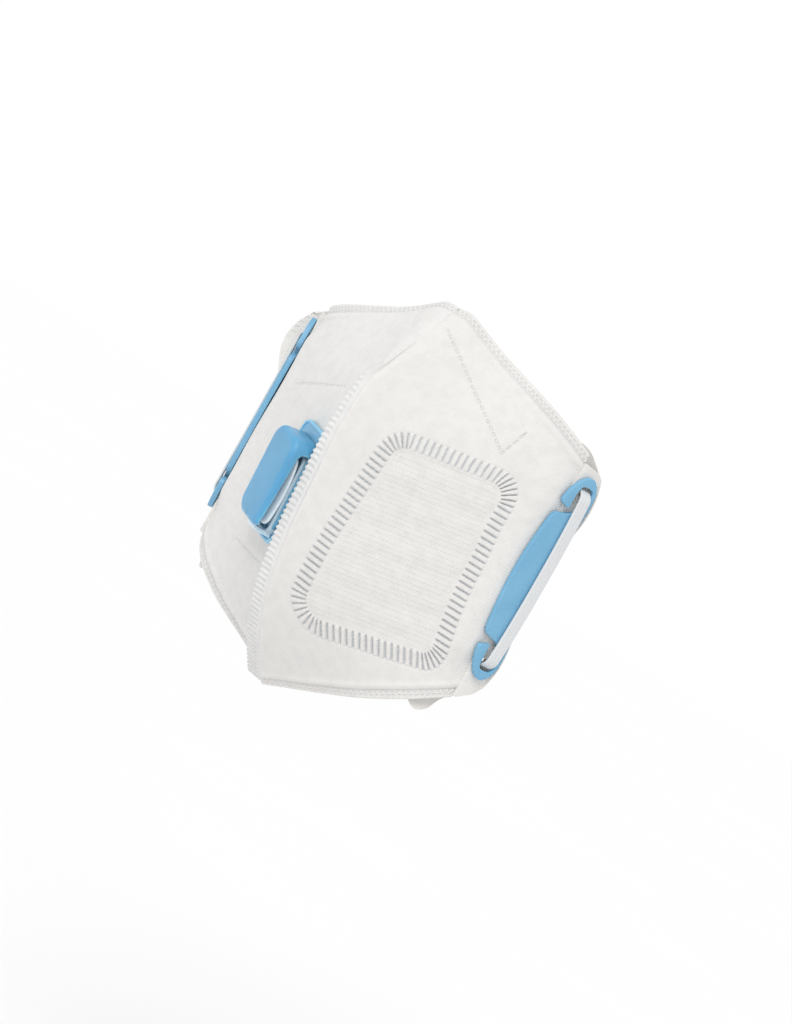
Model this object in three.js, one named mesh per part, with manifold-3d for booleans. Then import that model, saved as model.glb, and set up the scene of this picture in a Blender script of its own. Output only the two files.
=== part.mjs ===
// A valved fold-flat respirator mask, opened as it is worn.
// Millimetres. +Z is up, towards the nose. The outside faces -Y and the wearer's face is at +Y.
// +X is the wearer's left. The origin is the middle of the face opening, between the strap clips.

import * as THREE from "three";
import { mergeVertices } from "three/addons/utils/BufferGeometryUtils.js";
import Module from "manifold-3d";

const wasm = await Module();
wasm.setup();

const DEGREE = Math.PI / 180;
const CLEARANCE = 0.3;

// ---------------------------------------------------------------- driving dimensions

// The front seam, from the chin to the nose: its place in front of the face, and its height.
const SEAM = [
  { at: "chin end", y: -13.5, z: -88.5 },
  { at: "under the chin", y: -32, z: -72.5 },
  { at: "chin", y: -44.5, z: -56.5 },
  { at: "lower lip", y: -54.5, z: -33 },
  { at: "mouth", y: -59, z: -10 },
  { at: "tip", y: -62.5, z: 14 },
  { at: "under the nose", y: -60, z: 34 },
  { at: "nose", y: -43, z: 58 },
  { at: "nose end", y: -31, z: 73 },
];

// Each cheek has a frame of its own: across is back along the cheek, out is away from the face.
const CHEEK_HALF_SPAN = 69;
const CHEEK_TURN = 62 * DEGREE;
const CHEEK_LEAN = 2.4 * DEGREE;

const PANEL = {
  thickness: 1.5,
  startTurn: 38 * DEGREE,
  endTurn: 57 * DEGREE,
  edgeAcross: -3.9,
  edgeOut: -1.9,
  edgeBottom: -53.5,
  edgeTop: 50,
  bottomBow: 2.2,
  topBow: 1.6,
  rightDroop: 0.28,
  seamGap: 0.3,
  rows: 16,
  stations: [0, 0.06, 0.12, 0.19, 0.26, 0.36, 0.48, 0.6, 0.7, 0.8, 0.87, 0.94, 1],
};

// The seam's welded strip lies folded over the right panel, and stands up from the nose bend on.
const STRIP = {
  thickness: 1.4,
  foldedTurn: 96 * DEGREE,
  standingTurn: 5 * DEGREE,
  chinWidth: 8.8,
  bendWidth: 5.0,
  standingWidth: 2.5,
  turnStart: 0.7,
  turnEnd: 0.79,
  columns: 3,
};

// The flap is a strip of cloth rolled round the cheek edge. A row of this table is a line along it:
// its place across and out near the lower hook, at half height and near the upper hook, how far the
// right one flares from that place at the upper hook, and the heights of the line's two ends.
const FLAP_LINES = [
  { low: [-4.5, -0.3], mid: [-4.5, -0.3], up: [-4.5, -0.3], flare: [0, 0], bottom: -53, top: 47 },
  { low: [-3.2, -0.3], mid: [-3.4, -0.3], up: [-3.2, -0.3], flare: [0, 0], bottom: -53, top: 47 },
  { low: [4.2, -0.3], mid: [0.6, -0.4], up: [4.2, -0.3], flare: [0, 0], bottom: -50, top: 46 },
  { low: [5.9, -0.3], mid: [2.2, -0.9], up: [5.9, -0.3], flare: [0, 0], bottom: -48, top: 45 },
  { low: [6.6, 1.0], mid: [2.8, -2.2], up: [6.6, 1.4], flare: [-0.1, 2.4], bottom: -46, top: 44 },
  { low: [7.2, 0.4], mid: [3.0, -3.6], up: [7.2, 0.8], flare: [0.2, 7.8], bottom: -46, top: 45 },
  { low: [6.8, -2.4], mid: [2.4, -5.2], up: [6.8, -2.0], flare: [2.6, 9.4], bottom: -48, top: 47 },
  { low: [5.4, -6.0], mid: [0.6, -6.4], up: [5.6, -5.8], flare: [4.0, 7.0], bottom: -52, top: 50 },
  { low: [4.2, -7.4], mid: [-1.4, -7.4], up: [4.3, -7.6], flare: [0.6, 0], bottom: -56, top: 52 },
  { low: [-3.2, -9.4], mid: [-5.0, -8.4], up: [-3.2, -9.6], flare: [0, 0], bottom: -62, top: 53 },
  { low: [-9.0, -10.8], mid: [-10.0, -9.8], up: [-9.0, -11.0], flare: [0, 0], bottom: -65, top: 53 },
  { low: [-15.0, -12.2], mid: [-15.0, -11.4], up: [-15.0, -12.4], flare: [0, 0], bottom: -63, top: 51 },
];
const FLAP = { thickness: 1.2, lowHeight: -34, midHeight: -3, upHeight: 32, endReach: 20 };

// The strap goes through the flap's two legs behind each hook.
const SLOT = { from: 35.2, to: 39.8, frontLine: 1, rearLine: 8 };
const FLAP_ROWS = [-46, -SLOT.to, -SLOT.from, -26, -13, 0, 13, 26, SLOT.from, SLOT.to, 43];

// The upper half of a clip's outline, across and up. The lower half is its mirror image.
const CLIP = { thickness: 2.2, edge: 0.4 };
const CLIP_OUTLINE = [
  { at: "spine", across: 3.7, up: 0 },
  { at: "spine", across: 4.1, up: 14 },
  { at: "neck", across: 4.9, up: 26 },
  { at: "hook side", across: 5.6, up: 34 },
  { at: "hook shoulder", across: 4.7, up: 39.6 },
  { at: "hook top", across: 1.6, up: 43.2 },
  { at: "hook top", across: -1.4, up: 43.2 },
  { at: "hook crown", across: -4.6, up: 40.4 },
  { at: "hook front", across: -6.8, up: 36.0 },
  { at: "hook tip", across: -7.8, up: 31.8 },
  { at: "tip end", across: -7.2, up: 30.4 },
  { at: "tip end", across: -3.2, up: 29.2 },
  { at: "eye", across: -3.3, up: 34.0 },
  { at: "eye", across: -2.9, up: 38.2 },
  { at: "eye top", across: -1.6, up: 39.4 },
  { at: "eye top", across: 2.2, up: 39.4 },
  { at: "eye", across: 3.5, up: 38.2 },
  { at: "eye", across: 3.7, up: 34.0 },
  { at: "eye foot", across: 2.4, up: 30.4 },
  { at: "leaf top", across: -1.6, up: 27.6 },
  { at: "leaf corner", across: -7.2, up: 26.2 },
  { at: "leaf corner", across: -8.5, up: 24.6 },
  { at: "leaf edge", across: -10.0, up: 14 },
  { at: "leaf edge", across: -10.7, up: 5 },
];

// The head strap is one loop of flat elastic. Its stops are on the left half, seen from a cheek.
// Behind the flaps it twists a quarter turn, to stand on edge round the back of the head.
const STRAP = { width: 5.2, thickness: 1.1, samples: 150, twistFrom: 10, twistTo: 34 };
const STRAP_FRONT = [
  { across: 1.0, out: -13, up: 36.5 },
  { across: 0.6, out: -6, up: 37.6 },
  { across: 0.4, out: 0.6, up: 37.6 },
  { across: 0.6, out: 2.9, up: 35.6 },
  { across: 1.0, out: 3.15, up: 31 },
  { across: 1.7, out: 3.15, up: 12 },
  { across: 1.7, out: 3.15, up: -12 },
  { across: 1.0, out: 3.15, up: -31 },
  { across: 0.6, out: 2.9, up: -35.6 },
  { across: 0.4, out: 0.6, up: -37.6 },
  { across: 0.6, out: -6, up: -37.6 },
  { across: 1.0, out: -13, up: -38.6 },
];
const UPPER_BAND = { half: 50, y: 28, topZ: 31, lowZ: 14, middleY: 74 };
const LOWER_BAND = { half: 49, y: 27, topZ: -42, lowZ: -56, middleY: 70 };

// The valve sits on the right panel. Its own frame has x towards the seam, y up and z outwards.
const VALVE = {
  along: 0.202,
  height: 0.462,
  lift: 0.6,
  base: { width: 23, length: 47, thickness: 2, corner: 5 },
  window: { width: 6, length: 22, offset: 4.2 },
  rim: { width: 20, length: 34, height: 2.4, wall: 1.4, corner: 4, shift: -3.4 },
  lip: { width: 17, height: 6, thickness: 1.3 },
  hood: { width: 23.2, length: 37.2, height: 11.2, wall: 1.3, corner: 5, bevel: 3.2, shift: -0.3 },
  sideOpening: { from: -17.2, to: 13.6, bottom: 3.6, top: 9.1 },
  endOpening: { width: 20.8, top: 8.6 },
  diaphragm: { width: 16, length: 28, thickness: 0.8, height: 4.8, rise: 1.3, shift: -2.8 },
};
// The cells of the right panel's grid that are left out behind the valve.
const VALVE_HOLE = { columnFrom: 2, columnTo: 4, rowFrom: 7, rowTo: 8 };

// ---------------------------------------------------------------- materials

function finish(colour, roughness, opacity = 1) {
  return new THREE.MeshStandardMaterial({
    color: colour,
    roughness,
    metalness: 0,
    transparent: opacity < 1,
    opacity,
  });
}

const filterCloth = () => finish(0xf2f1ee, 0.9);
const flapCloth = () => finish(0xf5f1e8, 0.9);
const weldedCloth = () => finish(0xe4e4e2, 0.75);
const clipPlastic = () => finish(0x5fb4e0, 0.45);
const hoodPlastic = () => finish(0x46a4dc, 0.25, 0.9);
const silicone = () => finish(0xe8edf0, 0.35, 0.85);
const elastic = () => finish(0xeceef0, 0.85);

// ---------------------------------------------------------------- shape helpers

const vector = (x, y, z) => new THREE.Vector3(x, y, z);

function smoothStep(from, to, value) {
  const t = THREE.MathUtils.clamp((value - from) / (to - from), 0, 1);
  return t * t * (3 - 2 * t);
}

function named(name, geometry, material) {
  const mesh = new THREE.Mesh(geometry, material);
  mesh.name = name;
  return mesh;
}

function geometryOf(points, triangles) {
  const geometry = new THREE.BufferGeometry();
  geometry.setAttribute("position", new THREE.Float32BufferAttribute(points.flat(), 3));
  geometry.setIndex(triangles.flat());
  return geometry;
}

// The direction that a grid of points faces at one of its crossings.
function facing(grid, i, j) {
  const lastI = grid.length - 1;
  const lastJ = grid[0].length - 1;
  const alongI = vector().subVectors(grid[Math.min(i + 1, lastI)][j], grid[Math.max(i - 1, 0)][j]);
  const alongJ = vector().subVectors(grid[i][Math.min(j + 1, lastJ)], grid[i][Math.max(j - 1, 0)]);
  return alongI.cross(alongJ).normalize();
}

// A closed wall. Its outside is a grid of points, and its inside is the same grid moved in by the
// thickness, or as inwards() says. Cells that keeps() turns down are left open.
function wall(grid, thickness, keeps = () => true, inwards = () => null) {
  const rows = grid.length;
  const columns = grid[0].length;
  const inside = grid.map((row, i) =>
    row.map((point, j) =>
      point.clone().add(inwards(i, j) ?? facing(grid, i, j).multiplyScalar(-thickness)),
    ),
  );
  const points = [...grid.flat(), ...inside.flat()].map((point) => point.toArray());
  const outer = (i, j) => i * columns + j;
  const inner = (i, j) => rows * columns + i * columns + j;
  const kept = (i, j) => i >= 0 && j >= 0 && i < rows - 1 && j < columns - 1 && keeps(i, j);
  const triangles = [];
  const quad = (a, b, c, d) => triangles.push([a, b, c], [a, c, d]);
  for (let i = 0; i < rows - 1; i += 1) {
    for (let j = 0; j < columns - 1; j += 1) {
      if (!kept(i, j)) continue;
      quad(outer(i, j), outer(i + 1, j), outer(i + 1, j + 1), outer(i, j + 1));
      quad(inner(i, j), inner(i, j + 1), inner(i + 1, j + 1), inner(i + 1, j));
      if (!kept(i - 1, j)) quad(outer(i, j), outer(i, j + 1), inner(i, j + 1), inner(i, j));
      if (!kept(i + 1, j)) quad(outer(i + 1, j + 1), outer(i + 1, j), inner(i + 1, j), inner(i + 1, j + 1));
      if (!kept(i, j - 1)) quad(outer(i + 1, j), outer(i, j), inner(i, j), inner(i + 1, j));
      if (!kept(i, j + 1)) quad(outer(i, j + 1), outer(i + 1, j + 1), inner(i + 1, j + 1), inner(i, j + 1));
    }
  }
  return dropUnused(points, triangles);
}

function dropUnused(points, triangles) {
  const used = [...new Set(triangles.flat())].sort((a, b) => a - b);
  const place = new Map(used.map((old, now) => [old, now]));
  return geometryOf(
    used.map((old) => points[old]),
    triangles.map((triangle) => triangle.map((old) => place.get(old))),
  );
}

// The mirror image of a geometry in the plane x = 0, still facing outwards.
function mirrored(geometry) {
  const copy = geometry.clone().scale(-1, 1, 1);
  const index = copy.getIndex();
  for (let k = 0; k < index.count; k += 3) {
    const second = index.getX(k + 1);
    index.setX(k + 1, index.getX(k + 2));
    index.setX(k + 2, second);
  }
  return copy;
}

const onSide = (side, geometry) => (side > 0 ? geometry : mirrored(geometry));

function solidOf(geometry) {
  const bare = geometry.clone();
  bare.deleteAttribute("normal");
  bare.deleteAttribute("uv");
  const merged = mergeVertices(bare, 1e-4);
  return new wasm.Manifold(
    new wasm.Mesh({
      numProp: 3,
      vertProperties: new Float32Array(merged.getAttribute("position").array),
      triVerts: new Uint32Array(merged.getIndex().array),
    }),
  );
}

function geometryFrom(solid) {
  const mesh = solid.getMesh();
  const geometry = new THREE.BufferGeometry();
  geometry.setAttribute("position", new THREE.Float32BufferAttribute(mesh.vertProperties, 3));
  geometry.setIndex([...mesh.triVerts]);
  return geometry;
}

function roundedRectangle(width, length, corner) {
  const x = width / 2 - corner;
  const y = length / 2 - corner;
  const shape = new THREE.Shape();
  shape.absarc(x, y, corner, 0, Math.PI / 2, false);
  shape.absarc(-x, y, corner, Math.PI / 2, Math.PI, false);
  shape.absarc(-x, -y, corner, Math.PI, Math.PI * 1.5, false);
  shape.absarc(x, -y, corner, Math.PI * 1.5, Math.PI * 2, false);
  shape.closePath();
  return shape;
}

function plate(shape, thickness) {
  return new THREE.ExtrudeGeometry(shape, { depth: thickness, bevelEnabled: false, curveSegments: 4 });
}

function block(width, length, height, x, y, z) {
  return solidOf(new THREE.BoxGeometry(width, length, height).translate(x, y, z));
}

// ---------------------------------------------------------------- cup

const seamCurve = new THREE.CatmullRomCurve3(
  SEAM.map(({ y, z }) => vector(0, y, z)),
  false,
  "centripetal",
);

// The seam's outward direction, in its own plane.
function seamFacing(v) {
  const along = seamCurve.getTangentAt(v);
  return vector(0, -along.z, along.y);
}

const cheekTurn = new THREE.Euler(CHEEK_LEAN, 0, CHEEK_TURN, "XYZ");

// A point of the left cheek's frame, in the mask's frame.
function onCheek(across, out, up) {
  return vector(across, -out, up).applyEuler(cheekTurn).add(vector(CHEEK_HALF_SPAN, 0, 0));
}

// How far the seam strip lies folded over: 1 below the nose bend, 0 above it.
const folded = (v) => 1 - smoothStep(STRIP.turnStart, STRIP.turnEnd, v);

// A point on the outside of a panel, drawn on the left: s from the seam to the cheek, v from the
// bottom hem to the top hem. The right panel steps back by recess to lie under the seam strip, and
// its top hem droops towards the cheek.
function panelPoint(s, v, recess, droop) {
  const out = seamFacing(v);
  const start = seamCurve.getPointAt(v).addScaledVector(out, -recess * folded(v));
  start.x = PANEL.seamGap;
  const up = THREE.MathUtils.lerp(PANEL.edgeBottom, PANEL.edgeTop, v);
  const end = onCheek(PANEL.edgeAcross, PANEL.edgeOut, up);
  const reach = start.distanceTo(end);
  const leave = vector(Math.cos(PANEL.startTurn), 0, 0).addScaledVector(out, -Math.sin(PANEL.startTurn));
  const arrive = vector(Math.cos(PANEL.endTurn), Math.sin(PANEL.endTurn), (end.z - start.z) / reach);
  arrive.z += droop * Math.max(0, 2 * v - 1) ** 3;
  const s2 = s * s;
  const s3 = s2 * s;
  const bow = v > 0.5 ? PANEL.topBow * (2 * v - 1) ** 3 : PANEL.bottomBow * (2 * v - 1) ** 3;
  return vector(0, 0, bow * Math.sin(Math.PI * s))
    .addScaledVector(start, 2 * s3 - 3 * s2 + 1)
    .addScaledVector(leave, (s3 - 2 * s2 + s) * reach)
    .addScaledVector(end, 3 * s2 - 2 * s3)
    .addScaledVector(arrive, (s3 - s2) * reach);
}

function panelGrid(recess, droop) {
  const grid = [];
  for (const s of PANEL.stations) {
    const row = [];
    for (let j = 0; j <= PANEL.rows; j += 1) row.push(panelPoint(s, j / PANEL.rows, recess, droop));
    grid.push(row);
  }
  return grid;
}

// At the seam a panel's wall is cut straight back, so that the two panels meet edge to edge.
function seamCut(i, j) {
  const depth = PANEL.thickness / Math.cos(PANEL.startTurn);
  return i === 0 ? seamFacing(j / PANEL.rows).multiplyScalar(-depth) : null;
}

function leftPanel() {
  return wall(panelGrid(0, 0), PANEL.thickness, () => true, seamCut);
}

function rightPanel() {
  const hole = VALVE_HOLE;
  const keeps = (i, j) =>
    i < hole.columnFrom || i >= hole.columnTo || j < hole.rowFrom || j >= hole.rowTo;
  const grid = panelGrid(STRIP.thickness + CLEARANCE, PANEL.rightDroop);
  return mirrored(wall(grid, PANEL.thickness, keeps, seamCut));
}

function seamStrip() {
  const grid = [];
  for (let i = 0; i <= STRIP.columns; i += 1) {
    const row = [];
    for (let j = 0; j <= PANEL.rows; j += 1) {
      const v = j / PANEL.rows;
      const fold = folded(v);
      const turn = THREE.MathUtils.lerp(STRIP.standingTurn, STRIP.foldedTurn, fold);
      const foldedWidth = THREE.MathUtils.mapLinear(v, 0, STRIP.turnStart, STRIP.chinWidth, STRIP.bendWidth);
      const width = THREE.MathUtils.lerp(STRIP.standingWidth, foldedWidth, fold);
      const out = seamFacing(v);
      const face = vector(Math.cos(turn), 0, 0).addScaledVector(out, Math.sin(turn));
      const along = vector(-Math.sin(turn), 0, 0).addScaledVector(out, Math.cos(turn));
      const rootOut = THREE.MathUtils.lerp(CLEARANCE, -STRIP.thickness / 2, fold);
      const root = seamCurve.getPointAt(v).addScaledVector(out, rootOut);
      root.x -= fold * CLEARANCE / 2;
      const reach = width * (1 - i / STRIP.columns);
      row.push(root.addScaledVector(along, reach).addScaledVector(face, STRIP.thickness / 2));
    }
    grid.push(row);
  }
  return wall(grid, STRIP.thickness);
}

// ---------------------------------------------------------------- cheeks

// A flap line's place at a height: it bulges near each hook and draws in between and beyond them.
function flapPoint(line, height, flares) {
  const below = height < FLAP.midHeight;
  const hook = below ? FLAP.lowHeight : FLAP.upHeight;
  const beyond = Math.max(0, below ? hook - height : height - hook);
  const share = smoothStep(FLAP.midHeight, hook, height) * (1 - (beyond / FLAP.endReach) ** 2);
  const section = below ? line.low : line.up;
  const flare = flares && !below ? line.flare : [0, 0];
  const across = THREE.MathUtils.lerp(line.mid[0], section[0] + flare[0], share);
  const out = THREE.MathUtils.lerp(line.mid[1], section[1] + flare[1], share);
  return vector(across, -out, height);
}

function flap(flares) {
  const grid = FLAP_LINES.map((line) =>
    [line.bottom, ...FLAP_ROWS, line.top].map((height) => flapPoint(line, height, flares)),
  );
  const slotRows = [-SLOT.to, SLOT.from].map((height) => FLAP_ROWS.indexOf(height) + 1);
  const slotLines = [SLOT.frontLine, SLOT.rearLine];
  return wall(grid, FLAP.thickness, (i, j) => !(slotLines.includes(i) && slotRows.includes(j)));
}

function clip() {
  const upper = CLIP_OUTLINE.map(({ across, up }) => new THREE.Vector2(across, up));
  const lower = upper.slice(1).reverse().map((point) => new THREE.Vector2(point.x, -point.y));
  const extruded = new THREE.ExtrudeGeometry(new THREE.Shape([...upper, ...lower]), {
    depth: CLIP.thickness - 2 * CLIP.edge,
    bevelThickness: CLIP.edge,
    bevelSize: CLIP.edge,
    bevelOffset: -CLIP.edge,
    bevelSegments: 1,
  });
  // The outline stands up in the cheek's frame, with its back on the flap.
  extruded.rotateX(Math.PI / 2);
  extruded.translate(0, -CLIP.edge, 0);
  return geometryFrom(solidOf(extruded));
}

// The strap's centre line: a hanging band behind the cup, out through the left hooks, and so on.
function strapStops() {
  const left = STRAP_FRONT.map(({ across, out, up }) => onCheek(across, out, up));
  const hanging = (band, share) =>
    vector(
      band.half * share,
      THREE.MathUtils.lerp(band.middleY, band.y, share * share),
      THREE.MathUtils.lerp(band.lowZ, band.topZ, share * share),
    );
  const toMirror = (points) => points.map((point) => vector(-point.x, point.y, point.z)).reverse();
  const upperHalf = [0.55, 1].map((share) => hanging(UPPER_BAND, share));
  const lowerHalf = [1, 0.55].map((share) => hanging(LOWER_BAND, share));
  const leftHalf = [...upperHalf, ...left, ...lowerHalf];
  return [hanging(UPPER_BAND, 0), ...leftHalf, hanging(LOWER_BAND, 0), ...toMirror(leftHalf)];
}

function strapLoop() {
  const curve = new THREE.CatmullRomCurve3(strapStops(), true, "centripetal");
  const cheekDirection = vector(Math.cos(CHEEK_TURN), Math.sin(CHEEK_TURN), 0);
  const points = [];
  const triangles = [];
  for (let k = 0; k < STRAP.samples; k += 1) {
    const centre = curve.getPointAt(k / STRAP.samples);
    const along = curve.getTangentAt(k / STRAP.samples);
    const twist = smoothStep(STRAP.twistFrom, STRAP.twistTo, centre.y);
    const width = vector(cheekDirection.x * Math.sign(centre.x), cheekDirection.y, 0);
    width.multiplyScalar(1 - twist).add(vector(0, 0, twist));
    width.addScaledVector(along, -width.dot(along)).normalize();
    const face = vector().crossVectors(width, along).normalize();
    for (const [sideways, outwards] of [[-1, -1], [1, -1], [1, 1], [-1, 1]]) {
      const corner = centre
        .clone()
        .addScaledVector(width, (sideways * STRAP.width) / 2)
        .addScaledVector(face, (outwards * STRAP.thickness) / 2);
      points.push(corner.toArray());
    }
    const here = k * 4;
    const next = ((k + 1) % STRAP.samples) * 4;
    for (let c = 0; c < 4; c += 1) {
      const d = (c + 1) % 4;
      triangles.push([here + c, next + d, here + d], [here + c, next + c, next + d]);
    }
  }
  return geometryOf(points, triangles);
}

// ---------------------------------------------------------------- valve

function valveBase() {
  const { base, window, rim, lip } = VALVE;
  const flange = roundedRectangle(base.width, base.length, base.corner);
  const ring = roundedRectangle(rim.width, rim.length, rim.corner);
  ring.holes.push(roundedRectangle(rim.width - 2 * rim.wall, rim.length - 2 * rim.wall, rim.corner - rim.wall));
  const sunk = 0.1;
  const rimSolid = solidOf(plate(ring, rim.height + sunk).translate(0, rim.shift, base.thickness - sunk));
  const arch = new THREE.Shape();
  arch.absellipse(0, 0, lip.width / 2, lip.height, 0, Math.PI, false);
  arch.closePath();
  const lipFoot = rim.shift - rim.length / 2 + lip.thickness;
  const lipSolid = solidOf(plate(arch, lip.thickness).rotateX(Math.PI / 2).translate(0, lipFoot, base.thickness - sunk));
  const windows = [-1, 1].map((side) =>
    block(window.width, window.length, base.thickness * 3, side * window.offset, 0, 0),
  );
  const cut = windows[0].add(windows[1]);
  return geometryFrom(solidOf(plate(flange, base.thickness)).add(rimSolid).add(lipSolid).subtract(cut));
}

// A round-edged block over the base, made smaller all round by inset. Its lower bevel is below the
// base, and the outer one is cut off level with the base's face.
function hoodBlock(inset) {
  const { hood, base } = VALVE;
  const outline = roundedRectangle(
    hood.width - 2 * (inset + hood.bevel),
    hood.length - 2 * (inset + hood.bevel),
    hood.corner - inset * 0.5 - hood.bevel * 0.5,
  );
  const foot = base.thickness + CLEARANCE;
  const geometry = new THREE.ExtrudeGeometry(outline, {
    depth: hood.height - inset - hood.bevel,
    bevelThickness: hood.bevel,
    bevelSize: hood.bevel,
    bevelSegments: 4,
    curveSegments: 4,
  });
  geometry.translate(0, hood.shift, 0);
  const below = block(hood.width * 2, hood.length * 2, foot + 10, 0, 0, (foot - 10) / 2);
  return inset > 0 ? solidOf(geometry) : solidOf(geometry).subtract(below);
}

function valveHood() {
  const { hood, sideOpening, endOpening } = VALVE;
  const sideLength = sideOpening.to - sideOpening.from;
  const sideMiddle = (sideOpening.to + sideOpening.from) / 2;
  const sides = block(
    hood.width * 2,
    sideLength,
    sideOpening.top - sideOpening.bottom,
    0,
    sideMiddle,
    (sideOpening.top + sideOpening.bottom) / 2,
  );
  const end = block(endOpening.width, hood.length / 2, endOpening.top, 0, -hood.length / 2, endOpening.top / 2);
  return geometryFrom(hoodBlock(0).subtract(hoodBlock(hood.wall)).subtract(sides).subtract(end));
}

function valveDiaphragm() {
  const { width, length, thickness, height, rise, shift } = VALVE.diaphragm;
  const steps = 8;
  const grid = [-0.5, -0.17, 0.17, 0.5].map((share) => {
    const line = [];
    for (let k = 0; k <= steps; k += 1) {
      const along = (2 * k) / steps - 1;
      line.push(vector(width * share, (along * length) / 2 + shift, height + thickness + rise * along * along));
    }
    return line;
  });
  return wall(grid, thickness);
}

// The valve's frame on the right panel.
function valveGroup() {
  const recess = STRIP.thickness + CLEARANCE;
  const flip = (point) => vector(-point.x, point.y, point.z);
  const at = (s, v) => flip(panelPoint(s, v, recess, PANEL.rightDroop));
  const step = 0.02;
  const towardsSeam = at(VALVE.along - step, VALVE.height).sub(at(VALVE.along + step, VALVE.height));
  const upwards = at(VALVE.along, VALVE.height + step).sub(at(VALVE.along, VALVE.height - step));
  const x = towardsSeam.normalize();
  const z = vector().crossVectors(x, upwards).normalize();
  const y = vector().crossVectors(z, x);
  const group = new THREE.Group();
  group.quaternion.setFromRotationMatrix(new THREE.Matrix4().makeBasis(x, y, z));
  group.position.copy(at(VALVE.along, VALVE.height)).addScaledVector(z, VALVE.lift);
  group.add(
    named("valve_base", valveBase(), hoodPlastic()),
    named("valve_diaphragm", valveDiaphragm(), silicone()),
    named("valve_hood", valveHood(), hoodPlastic()),
  );
  return group;
}

// ---------------------------------------------------------------- assembly

function cheekGroup(side, sideName) {
  const group = new THREE.Group();
  group.rotation.set(CHEEK_LEAN, 0, side * CHEEK_TURN, "XYZ");
  group.position.x = side * CHEEK_HALF_SPAN;
  group.add(
    named(`cheek_flap_${sideName}`, onSide(side, flap(side < 0)), flapCloth()),
    named(`strap_clip_${sideName}`, onSide(side, clip()), clipPlastic()),
  );
  return group;
}

const group = new THREE.Group();
group.add(
  named("panel_left", leftPanel(), filterCloth()),
  named("panel_right", rightPanel(), filterCloth()),
  named("seam_strip", seamStrip(), weldedCloth()),
  cheekGroup(1, "left"),
  cheekGroup(-1, "right"),
  named("head_strap", strapLoop(), elastic()),
  valveGroup(),
);

export default group;
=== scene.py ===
"""A valved respirator mask: the detailed pieces that stand for the plain CAD solids."""

import itertools
import math

import bpy
import numpy as np
from mathutils import Matrix, Vector


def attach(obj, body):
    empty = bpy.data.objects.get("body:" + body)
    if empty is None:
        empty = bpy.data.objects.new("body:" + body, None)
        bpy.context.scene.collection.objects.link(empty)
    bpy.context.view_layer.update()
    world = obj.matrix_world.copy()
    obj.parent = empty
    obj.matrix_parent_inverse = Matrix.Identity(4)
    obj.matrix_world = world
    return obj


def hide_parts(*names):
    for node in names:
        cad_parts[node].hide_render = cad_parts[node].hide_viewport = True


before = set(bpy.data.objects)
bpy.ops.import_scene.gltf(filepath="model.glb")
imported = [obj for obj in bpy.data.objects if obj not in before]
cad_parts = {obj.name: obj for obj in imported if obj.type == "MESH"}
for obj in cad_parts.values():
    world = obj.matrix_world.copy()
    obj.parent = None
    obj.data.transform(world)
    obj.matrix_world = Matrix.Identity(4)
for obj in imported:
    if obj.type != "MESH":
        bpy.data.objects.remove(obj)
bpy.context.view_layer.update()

MM = 0.001
DEGREE = math.pi / 180

# ---- camera

AZIMUTH = 28 * DEGREE
ELEVATION = 1.7 * DEGREE
ROLL = 30.75 * DEGREE
DISTANCE = 0.984
AIM_RIGHT = 0.0006
AIM_DOWN = 0.0072

def direction(azimuth, elevation):
    """The way from the mask to a place round it. Azimuth 0 is in front."""
    flat = math.cos(elevation)
    return Vector((math.sin(azimuth) * flat, -math.cos(azimuth) * flat, math.sin(elevation)))


level_right = Vector((math.cos(AZIMUTH), math.sin(AZIMUTH), 0))
to_camera = direction(AZIMUTH, ELEVATION)
level_up = to_camera.cross(level_right)
picture_right = level_right * math.cos(ROLL) + level_up * math.sin(ROLL)
picture_up = level_up * math.cos(ROLL) - level_right * math.sin(ROLL)

camera_data = bpy.data.cameras.new("camera")
camera_data.lens = 89.4
camera_data.sensor_width = 36
camera_data.clip_start = 0.05
camera_data.clip_end = 20
camera = bpy.data.objects.new("camera", camera_data)
bpy.context.collection.objects.link(camera)
bpy.context.scene.camera = camera
aim = picture_right * AIM_RIGHT - picture_up * AIM_DOWN
turn = Matrix((picture_right, picture_up, to_camera)).transposed().to_4x4()
camera.matrix_world = Matrix.Translation(aim + to_camera * DISTANCE) @ turn

# ---- sizes, in millimetres

# The front seam, from the chin to the nose: (in front of the face, height).
SEAM = [
    (-13.5, -88.5),
    (-32, -72.5),
    (-44.5, -56.5),
    (-54.5, -33),
    (-59, -10),
    (-62.5, 14),
    (-60, 34),
    (-43, 58),
    (-31, 73),
]
CHEEK_HALF_SPAN = 69
CHEEK_TURN = 62 * DEGREE
CHEEK_LEAN = 2.4 * DEGREE

START_TURN = 38 * DEGREE
END_TURN = 57 * DEGREE
EDGE_ACROSS = -3.9
EDGE_OUT = -1.9
EDGE_BOTTOM = -53.5
EDGE_TOP = 50
BOTTOM_BOW = 2.2
TOP_BOW = 1.6
RIGHT_DROOP = 0.28
RIGHT_RECESS = 1.7
BEND_START = 0.7
BEND_END = 0.79


# ---- curves and surfaces


# Points from one stop of a curve to the next.
SPAN_STEPS = 60


def smooth_step(low, high, value):
    t = np.clip((value - low) / (high - low), 0, 1)
    return t * t * (3 - 2 * t)


def mix(a, b, share):
    return a + (b - a) * share


def unit(vectors):
    return vectors / np.linalg.norm(vectors, axis=-1, keepdims=True)


def square_to(axis, vectors):
    """The vectors without their share along an axis, at length 1."""
    return unit(vectors - axis * np.sum(vectors * axis, axis=-1)[..., None])


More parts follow.
